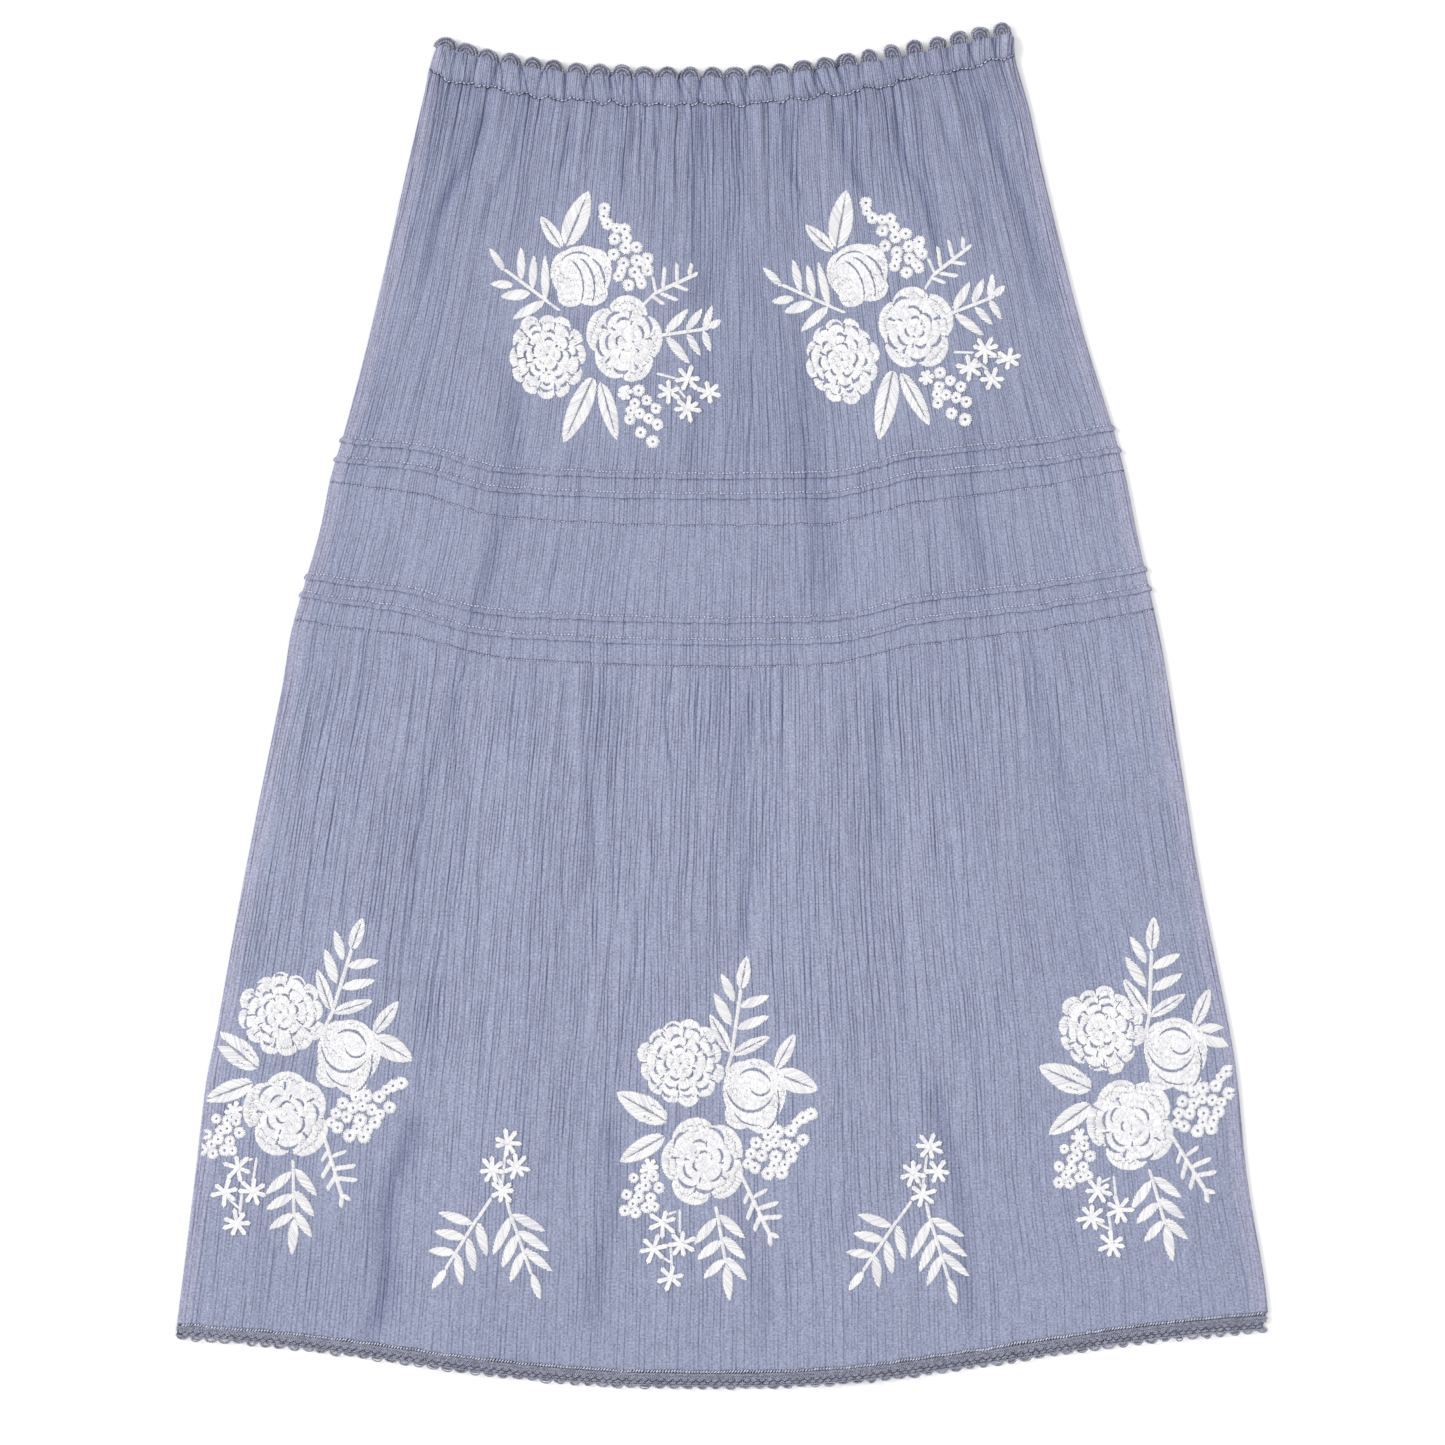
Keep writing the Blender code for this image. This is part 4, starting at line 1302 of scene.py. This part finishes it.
class SKIRT_OT_casing(bpy.types.Operator):
    """Gather the waist casing round its elastic, front and back."""

    bl_idname = "skirt.casing"
    bl_label = "Waist casing"

    def execute(self, context):
        """Make both halves of the casing."""
        material = gauze_material(context, "gathered_gauze", 0.8 * MM)
        depth = context.scene.skirt_sizes.crinkle_depth
        upper = lowered(CASING_TOP, SEAM_GAP / MM)
        lower = lowered(CASING_STITCH, -SEAM_GAP / MM / 2)
        rows = [(between(upper, lower, row.share), 0.0, 0.0, row.shade) for row in CASING_ROWS]
        shares, walls, puffs, _ = np.array(CASING_ROWS).T
        fades = 1 - shares

        def puffed(across, y, row):
            """The crests and the slanted pleats of the casing, and its scalloped and puckered edges."""
            fade = fades[row]
            phase = FANS * (across + 1) / 2
            number = np.floor(phase + 0.5)
            slant = 0.20 * np.sin(2.7 * number + 0.8) * (1 - fade)
            leaning = phase + slant * np.cos(math.pi * (phase - number)) ** 2
            crest = np.abs(np.sin(math.pi * leaning)) ** 0.55
            span = across * CRINKLE_HALF_WIDTH
            pleat = noise(71, span + 0.20 * y / MM, -y / MM, 3.6, 26)
            free = looseness(across)
            shoulder = ease((np.abs(across) - 0.975) / 0.025) * fade**2
            y = y + ((3.4 - 1.6 * free) * crest - 1.6) * MM * fade**2.5 - 2.6 * MM * shoulder**2
            lean = (6.5 - 5.0 * free + 3.0 * np.sin(1.9 * number)) / CRINKLE_HALF_WIDTH
            return crest, pleat, y + pucker(across) * (1 - fade) ** 2 + waver(across, y), lean * fade

        def front(across, x, y, raised, row):
            crest, pleat, y, lean = puffed(across, y, row)
            puff = puffs[row]
            trough, _ = crinkle(81, 5.2, across + lean, y)
            full = np.clip(2.2 * puff, 0, 1)
            valleys = 0.35 + 0.65 * fades[row]
            rise = 1 - valleys * (1 - crest)
            top = CASING_BASE + CASING_WALL * walls[row] + CASING_PUFF * puff * (0.2 + 0.8 * rise)
            top += (0.5 * MM * pleat - 1.3 * depth * trough) * full
            # Painted shade in the crinkle troughs and the valleys between the puffs, painted light on the
            # pleats' crests
            painted_shade = np.clip(1.6 * trough + 2.6 * valleys * (1 - crest) ** 2.5 - 0.2 * pleat, 0, 1.6)
            return y, rolled(across, top, ROLL_FLOOR), painted_shade

        def back(across, x, y, raised, row):
            crest, pleat, y, _ = puffed(across, y, row)
            under = 1.1 * MM * (1 - crest * puffs[row]) + 0.35 * MM * (1 - walls[row])
            under += np.clip(0.4 * MM * pleat, 0, None)
            # Painted shade in the valleys between the puffs
            return y, rolled(across, under, ROLL_FLOOR), np.clip(1 - crest, 0, 1)

        for name, lay, facing, columns in (
            ("casing_front", front, True, 700), ("casing_back", back, False, 300),
        ):
            piece = lay_cloth(name + "_gauze", rows, columns_for(columns), lay, facing, material, name)
        return {"FINISHED"}


# A fan's stitches: how many posts, the shares of its height at which its arcs lie, their widths and
# lifts in mm, how high the thread is, how far the fan's foot lies below the waist's top line, and the
# level of the back's fans
FAN_POSTS = 15
FAN_ARCS = (0.36, 0.68, 1.0)
POST_WIDTH = 2.1
POST_LIFT = -0.3
ARC_WIDTH = 1.45
ARC_LIFT = 0.5
FAN_THREAD = 1.0 * MM
FAN_SINK = 0.8 * MM
BACK_FAN_LEVEL = 1.1 * MM


class SKIRT_OT_edging(bpy.types.Operator):
    """Crochet the row of fans along the top of the waist, front and back."""

    bl_idname = "skirt.edging"
    bl_label = "Waist edging"

    def execute(self, context):
        """Make the fans: their posts and the arcs over them."""
        colour = context.scene.skirt_colours.crochet
        thread = cotton_thread("crochet_cotton", colour, thread_dark(colour), 0.9, 0.15, 0.2)
        # The posts are painted darker than the arcs: painted shade behind the arcs
        deep = thread_dark(colour, 0.55)
        shaded_posts_thread = cotton_thread("crochet_cotton_posts_painted_shade", deep, thread_dark(deep), 0.9, 0.15, 0.2)
        for side, level, facing in (
            ("front", CROCHET_LEVEL + 0.4 * CROCHET, 1), ("back", BACK_FAN_LEVEL, -1),
        ):
            random = np.random.default_rng(7 + facing)
            posts, arcs = [], []
            for index in range(FANS):
                across = -1 + (2 * index + 1) / FANS
                x, y = place(CASING_TOP, across + random.uniform(-0.005, 0.005))
                ahead = np.array(place(CASING_TOP, across + 0.01)) - np.array((x, y))
                along = ahead / np.hypot(*ahead)
                up = np.array((-along[1], along[0]))
                free = float(looseness(across))
                half = FAN_HALF_WIDTH * (1 - 0.10 * free) * random.uniform(0.88, 1.08)
                tall = FAN_HEIGHT * (0.90 + 0.10 * free) * random.uniform(0.90, 1.06)
                lean = random.uniform(-1.1, 1.1) * (1 + free) * MM
                turn_by = random.uniform(-3, 3) * (1 + free)
                marks = []
                for step in np.linspace(-0.04, 1.04, FAN_POSTS):
                    way = spoke(180 * step, 1.0)
                    marks.append((posts, 0.06 * way, 0.93 * way, POST_WIDTH, POST_LIFT))
                for share in FAN_ARCS:
                    bounds = 180 * np.linspace(-0.05, 1.05, max(5, round(share * 14)) + 1)
                    for first, last in zip(bounds[:-1], bounds[1:]):
                        near, far = spoke(first, share - 0.03), spoke(last, share + 0.03)
                        marks.append((arcs, near, far, ARC_WIDTH, ARC_LIFT))
                for row, near, far, width, lift in marks:
                    points = []
                    for spot in (near, far):
                        neck = 1 - 0.30 * free * (1 - min(abs(spot[1]) * 1.6, 1.0))
                        rim = turned((spot[0] * half * neck + lean * spot[1], spot[1] * tall), turn_by)
                        point = np.array((x, y)) + along * rim[0] + up * (rim[1] - FAN_SINK)
                        dome = (lift + 0.5 * (1 - spot[0] ** 2 - spot[1] ** 2)) * MM
                        points.append((*point, level + (dome if facing > 0 else -0.6 * dome)))
                    row.append((*points, width * MM))
            name = "waist_edging_" + side
            for row, part, cotton in ((arcs, "_arcs", thread), (posts, "_posts", shaded_posts_thread)):
                starts, ends, widths = (np.array(column) for column in zip(*row))
                heights = np.full(len(widths), FAN_THREAD)
                fans = sew(name + part, starts, ends, widths, heights, cotton, name)
        return {"FINISHED"}


def row_of_stitches(line, first, last, pitch, random):
    """Shares across at even distances along a line, a little uneven by hand."""
    dense = np.linspace(first, last, 4001)
    x, y = place(line, dense)
    run = np.concatenate(([0.0], np.cumsum(np.hypot(np.diff(x), np.diff(y)))))
    count = int(run[-1] / pitch)
    steps = (np.arange(count) + 0.5 + random.uniform(-0.10, 0.10, count)) * pitch
    return np.interp(steps, run, dense)


def front_level(across, height):
    """The outside of the front at its seams and edges, where its sides roll down."""
    return rolled(across, front_top(across, height), ROLL_FLOOR)


# The lace's braided rows: how far below the hem each lies, its pitch, the slant of its stitches, and
# their length and width, in mm
BraidRow = namedtuple("BraidRow", "drop pitch slant length width")
BRAID_ROWS = named(
    BraidRow,
    (0.9, 2.0, 50, 2.2, 1.0), (2.3, 1.35, 28, 1.9, 1.1), (3.2, 1.35, -28, 1.9, 1.1),
    (4.3, 1.45, 32, 1.9, 1.1), (5.2, 1.45, -32, 1.9, 1.1),
)
BRAID_LIFT = -0.3

# Its rows of shells: how far below the hem and how far along in pitches, and each shell's three
# stitches, as their shifts along and up and their slant
SHELL_ROWS = ((6.4, 0.0), (8.4, 0.5))
SHELL_PITCH = 5.2
SHELL_STITCHES = ((-0.9, 0.35, 24), (-0.1, -0.35, 12), (0.6, 0.45, -18))

# Its picots' foot row, and the rows of the dark sheet behind its stitches: painted shade that darkens the
# lace's holes
PICOT_DROP = 9.9
SHADE_SHEET_DROPS = (0.9, 2.2, 3.5, 4.8, 6.1, 7.4, 8.7, 9.8)
SHADE_SHEET_PITCH = 4.2
SHADE_SHEET_LENGTH = 5.6
SHADE_SHEET_WIDTH = 1.7
SHADE_SHEET_LIFT = -1.25


class SKIRT_OT_hem_lace(bpy.types.Operator):
    """Crochet the hem lace: a stitched heading, braided rows, two rows of small shells and picots."""

    bl_idname = "skirt.hem_lace"
    bl_label = "Hem lace"

    def laid(self, marks, facing):
        """Where the stitches of some marks start and end, and their widths. A mark is its line, its share
        across, its shifts along and up, its slant, its length and width in mm, and its lift in mm."""
        lines = np.array([mark[0] for mark in marks])
        across, offset, drop, slant, length, width, lift = np.array([mark[1:] for mark in marks]).T
        x, y = place(lines, across)
        before_x, before_y = place(lines, np.clip(across - 0.004, -1, 1))
        after_x, after_y = place(lines, np.clip(across + 0.004, -1, 1))
        slope = np.arctan2(after_y - before_y, after_x - before_x)
        x = x + (offset * np.cos(slope) - drop * np.sin(slope)) * MM
        y = y + (offset * np.sin(slope) + drop * np.cos(slope)) * MM
        way = slope + np.radians(slant)
        half = length * MM / 2
        reach = np.stack((np.cos(way) * half, np.sin(way) * half), axis=1)
        middle = np.stack((x, y), axis=1)
        share = np.clip(across_at(x, y), -1, 1)
        if facing > 0:
            level = front_level(share, y) + lift * MM
        else:
            level = rolled(share, (0.48 - 0.40 * lift) * MM, ROLL_FLOOR)
        return np.column_stack((middle - reach, level)), np.column_stack((middle + reach, level)), width * MM

    def execute(self, context):
        """Make the lace of the front and of the back."""
        colour = context.scene.skirt_colours.crochet
        thread = cotton_thread("lace_cotton", colour, thread_dark(colour, 0.48), 0.9, 0.15, 0.2)
        # A dark sheet behind the lace's stitches, painted shade that darkens its holes
        painted_shade_sheet = thread_dark(colour, 0.36)
        painted_shade_sheet_thread = cotton_thread("lace_cotton_painted_shade_sheet", painted_shade_sheet, thread_dark(painted_shade_sheet), 0.9, 0.15, 0.2)
        picots = context.scene.skirt_sizes.picots
        tall = HEM.middle - LACE_EDGE.middle
        for side, facing in (("front", 1), ("back", -1)):
            random = np.random.default_rng(17 + facing)
            marks = []
            for braid in BRAID_ROWS:
                line = between(HEM, LACE_EDGE, braid.drop / tall)
                for across in row_of_stitches(line, -0.999, 0.999, braid.pitch * MM, random):
                    slant = braid.slant + random.uniform(-8, 8)
                    marks.append((line, across, 0.0, 0.0, slant, braid.length, braid.width, BRAID_LIFT))
            for drop, pitches in SHELL_ROWS:
                line = between(HEM, LACE_EDGE, drop / tall)
                shift = pitches * SHELL_PITCH
                for across in row_of_stitches(line, -0.995, 0.995, SHELL_PITCH * MM, random):
                    for offset, climb, slant in SHELL_STITCHES:
                        slant += random.uniform(-10, 10)
                        marks.append((line, across, offset + shift, climb, slant, 2.9, 1.05, -0.5))
                    marks.append((line, across, 2.6 + shift, -0.5, 80.0, 1.9, 0.8, -1.05))
            line = between(HEM, LACE_EDGE, PICOT_DROP / tall)
            for across in row_of_stitches(line, -0.999, 0.999, 1.6 * MM, random):
                marks.append((line, across, 0.0, 0.0, random.uniform(-20, 20), 2.1, 1.0, -0.75))
            for index in range(picots):
                across = -1 + (2 * index + 1) / picots
                wide = 3.5 * random.uniform(0.65, 1.15)
                deep = (2.3 + 0.9 * abs(across)) * random.uniform(0.55, 1.15)
                lean = random.uniform(-0.8, 0.8)
                for step in np.linspace(0.06, 0.94, 8):
                    angle = math.pi * step
                    offset = math.cos(angle) * wide + lean * math.sin(angle)
                    drop = -math.sin(angle) ** 0.8 * deep
                    slope = math.degrees(math.atan2(-math.cos(angle) * deep, -math.sin(angle) * wide))
                    marks.append((line, across, offset, drop, slope, 2.0, 1.05, -0.75))
            painted_shade_sheet_marks = []
            for drop in SHADE_SHEET_DROPS:
                line = between(HEM, LACE_EDGE, drop / tall)
                for across in row_of_stitches(line, -0.997, 0.997, SHADE_SHEET_PITCH * MM, random):
                    slant = random.uniform(-6, 6)
                    painted_shade_sheet_marks.append((line, across, 0.0, 0.0, slant, SHADE_SHEET_LENGTH, SHADE_SHEET_WIDTH, SHADE_SHEET_LIFT))
            name = "hem_lace_" + side
            for rows, part, cotton in ((marks, "_stitches", thread), (painted_shade_sheet_marks, "_painted_shade_sheet", painted_shade_sheet_thread)):
                starts, ends, widths = self.laid(rows, facing)
                lace = sew(name + part, starts, ends, widths, np.minimum(widths, 1.1 * MM), cotton, name)
        return {"FINISHED"}


# A row of sewing stitches: its line, the size of its stitches, their slant and width in mm, how far
# they lie above the cloth in mm, and how much they follow the casing's puckers
Seam = namedtuple("Seam", "name line size slant width lift wander")


class SKIRT_OT_seams(bpy.types.Operator):
    """Sew the pin tucks, the two seams and the casing."""

    bl_idname = "skirt.seams"
    bl_label = "Seam stitching"

    def execute(self, context):
        """Make one row of stitches for each line."""
        colour = context.scene.skirt_colours.sewing
        thread = cotton_thread("sewing_thread", colour, thread_dark(colour), 0.7, 0.1, 0.35)
        pitch = context.scene.skirt_sizes.stitch_length
        random = np.random.default_rng(5)
        rows = (
            Seam("casing_stitching", lowered(CASING_STITCH, -0.2), 1.15, 0.35, 0.95, 1.3, 1.0),
            Seam("upper_tuck_stitching", lowered(TUCK_A, -0.3), 1.0, 0.0, 1.1, 0.55, 0.0),
            Seam("second_tuck_stitching", lowered(TUCK_B, -0.3), 1.0, 0.0, 1.1, 0.55, 0.0),
            Seam("upper_seam_stitching", lowered(SEAM_C, 0.2), 0.8, 0.3, 0.7, 0.0, 0.0),
            Seam("third_tuck_stitching", lowered(TUCK_D, -0.3), 1.0, 0.0, 1.1, 0.55, 0.0),
            Seam("lowest_tuck_stitching", lowered(TUCK_E, -0.3), 1.0, 0.0, 1.1, 0.55, 0.0),
            Seam("lower_seam_stitching", lowered(SEAM_F, 0.2), 0.8, 0.3, 0.7, 0.0, 0.0),
            Seam("hem_stitching", lowered(HEM, 0.4), 0.85, 1.5, 1.1, 0.15, 0.0),
        )
        for seam in rows:
            step = pitch * seam.size
            across = row_of_stitches(seam.line, -0.992, 0.992, step, random)
            left, right = side_at(line_height(seam.line, across))
            ahead = np.clip(across + 0.72 * step / (right - left) * 2, -1, 1)
            ends = []
            for share, climb in ((across, -0.5), (ahead, 0.5)):
                x, y = place(seam.line, share)
                y = y + seam.wander * pucker(share) + waver(share, y) + climb * seam.slant * MM
                ends.append(np.column_stack((x, y, front_level(share, y) + seam.lift * MM)))
            widths = np.full(len(across), seam.width * MM)
            sew(seam.name, ends[0], ends[1], widths, widths, thread)
        return {"FINISHED"}


class SKIRT_OT_embroidery(bpy.types.Operator):
    """Embroider the five bouquets and two sprigs in white satin stitch."""

    bl_idname = "skirt.embroidery"
    bl_label = "Embroidery"

    def execute(self, context):
        """Make one piece for each bouquet and sprig."""
        colour = context.scene.skirt_colours.embroidery
        # D4D4DC is the painted shade of the white embroidery thread
        thread = cotton_thread("embroidery_cotton", colour, linear("#D4D4DC"), 0.65, 0.2, 0.3)
        for position, (ends, widths, lifts, _) in planned_embroidery(context):
            x, y = ends[..., 0], ends[..., 1]
            share = across_at(x, y)
            kept = (np.abs(share) < 0.994).all(axis=1)
            level = front_top(share, y) + STITCH_CLEARANCE + lifts[:, None]
            points = np.stack((x, y, rolled(share, level, ROLL_FLOOR)), axis=2)[kept]
            heights = np.full(kept.sum(), STITCH_HEIGHT)
            sew(position.name, points[:, 0], points[:, 1], widths[kept], heights, thread)
        return {"FINISHED"}


class SKIRT_OT_stage(bpy.types.Operator):
    """Set up the camera above the skirt, the pale floor and the soft lights."""

    bl_idname = "skirt.stage"
    bl_label = "Stage"

    def execute(self, context):
        """Make the camera, the floor and the lights."""
        scene = context.scene
        camera = bpy.data.objects.new("camera", bpy.data.cameras.new("camera"))
        scene.collection.objects.link(camera)
        camera.location = (-0.0006, -0.0107, CAMERA_HEIGHT)
        camera.data.sensor_width = CAMERA_SENSOR
        camera.data.lens = CAMERA_SENSOR * CAMERA_HEIGHT / SEEN_WIDTH
        camera.data.clip_start = 0.01
        scene.camera = camera
        mesh = bmesh.new()
        bmesh.ops.create_grid(mesh, x_segments=1, y_segments=1, size=4.0)
        bmesh.ops.translate(mesh, verts=mesh.verts, vec=(0.0, 0.0, -0.2 * MM))
        data = bpy.data.meshes.new("floor")
        mesh.to_mesh(data)
        mesh.free()
        material, shader = new_material("painted_white_board", 0.9, 0.0, 0.1)
        shader.inputs["Base Color"].default_value = linear("#FCFCFC")
        data.materials.append(material)
        floor = bpy.data.objects.new("floor", data)
        scene.collection.objects.link(floor)
        scene.view_settings.view_transform = "Standard"
        world = bpy.data.worlds.new("studio")
        world.use_nodes = True
        sky = world.node_tree.nodes["Background"]
        sky.inputs["Color"].default_value = (1.0, 1.0, 1.0, 1.0)
        sky.inputs["Strength"].default_value = 0.80
        scene.world = world
        for name, spot, size, power in (
            ("key_light", (-6.8, 2.0, 5.8), 3.2, 470.0),
            ("fill_light", (2.4, -1.6, 2.4), 1.6, 22.0),
        ):
            lamp = bpy.data.objects.new(name, bpy.data.lights.new(name, "AREA"))
            scene.collection.objects.link(lamp)
            lamp.data.size = size
            lamp.data.energy = power
            lamp.location = spot
            lamp.rotation_euler = (-Vector(spot)).to_track_quat("-Z", "Y").to_euler()
        return {"FINISHED"}


class SKIRT_PT_pieces(bpy.types.Panel):
    """Lists the skirt's settings and the operators that make it."""

    bl_idname = "SKIRT_PT_pieces"
    bl_label = "Embroidered maxi skirt"
    bl_space_type = "VIEW_3D"
    bl_region_type = "UI"
    bl_category = "Skirt"

    def draw(self, context):
        """Draw the settings, then one button for each operator."""
        for group in (context.scene.skirt_sizes, context.scene.skirt_colours):
            for key in group.bl_rna.properties.keys():
                if key not in ("rna_type", "name"):
                    self.layout.prop(group, key)
        for operator in OPERATORS:
            self.layout.operator(operator.bl_idname)


OPERATORS = (
    SKIRT_OT_stage,
    SKIRT_OT_casing,
    SKIRT_OT_front,
    SKIRT_OT_back,
    SKIRT_OT_edging,
    SKIRT_OT_hem_lace,
    SKIRT_OT_seams,
    SKIRT_OT_embroidery,
)
CLASSES = (SkirtColours, SkirtSizes, *OPERATORS, SKIRT_PT_pieces)


def register():
    """Register the classes and the settings."""
    for entry in CLASSES:
        bpy.utils.register_class(entry)
    bpy.types.Scene.skirt_colours = PointerProperty(type=SkirtColours)
    bpy.types.Scene.skirt_sizes = PointerProperty(type=SkirtSizes)


def unregister():
    """Take the settings and the classes away again."""
    del bpy.types.Scene.skirt_sizes
    del bpy.types.Scene.skirt_colours
    for entry in reversed(CLASSES):
        bpy.utils.unregister_class(entry)


def main():
    """Make every piece in order."""
    register()
    bpy.ops.skirt.stage()
    bpy.ops.skirt.casing()
    bpy.ops.skirt.front()
    bpy.ops.skirt.back()
    bpy.ops.skirt.edging()
    bpy.ops.skirt.hem_lace()
    bpy.ops.skirt.seams()
    bpy.ops.skirt.embroidery()


if __name__ == "__main__":
    main()
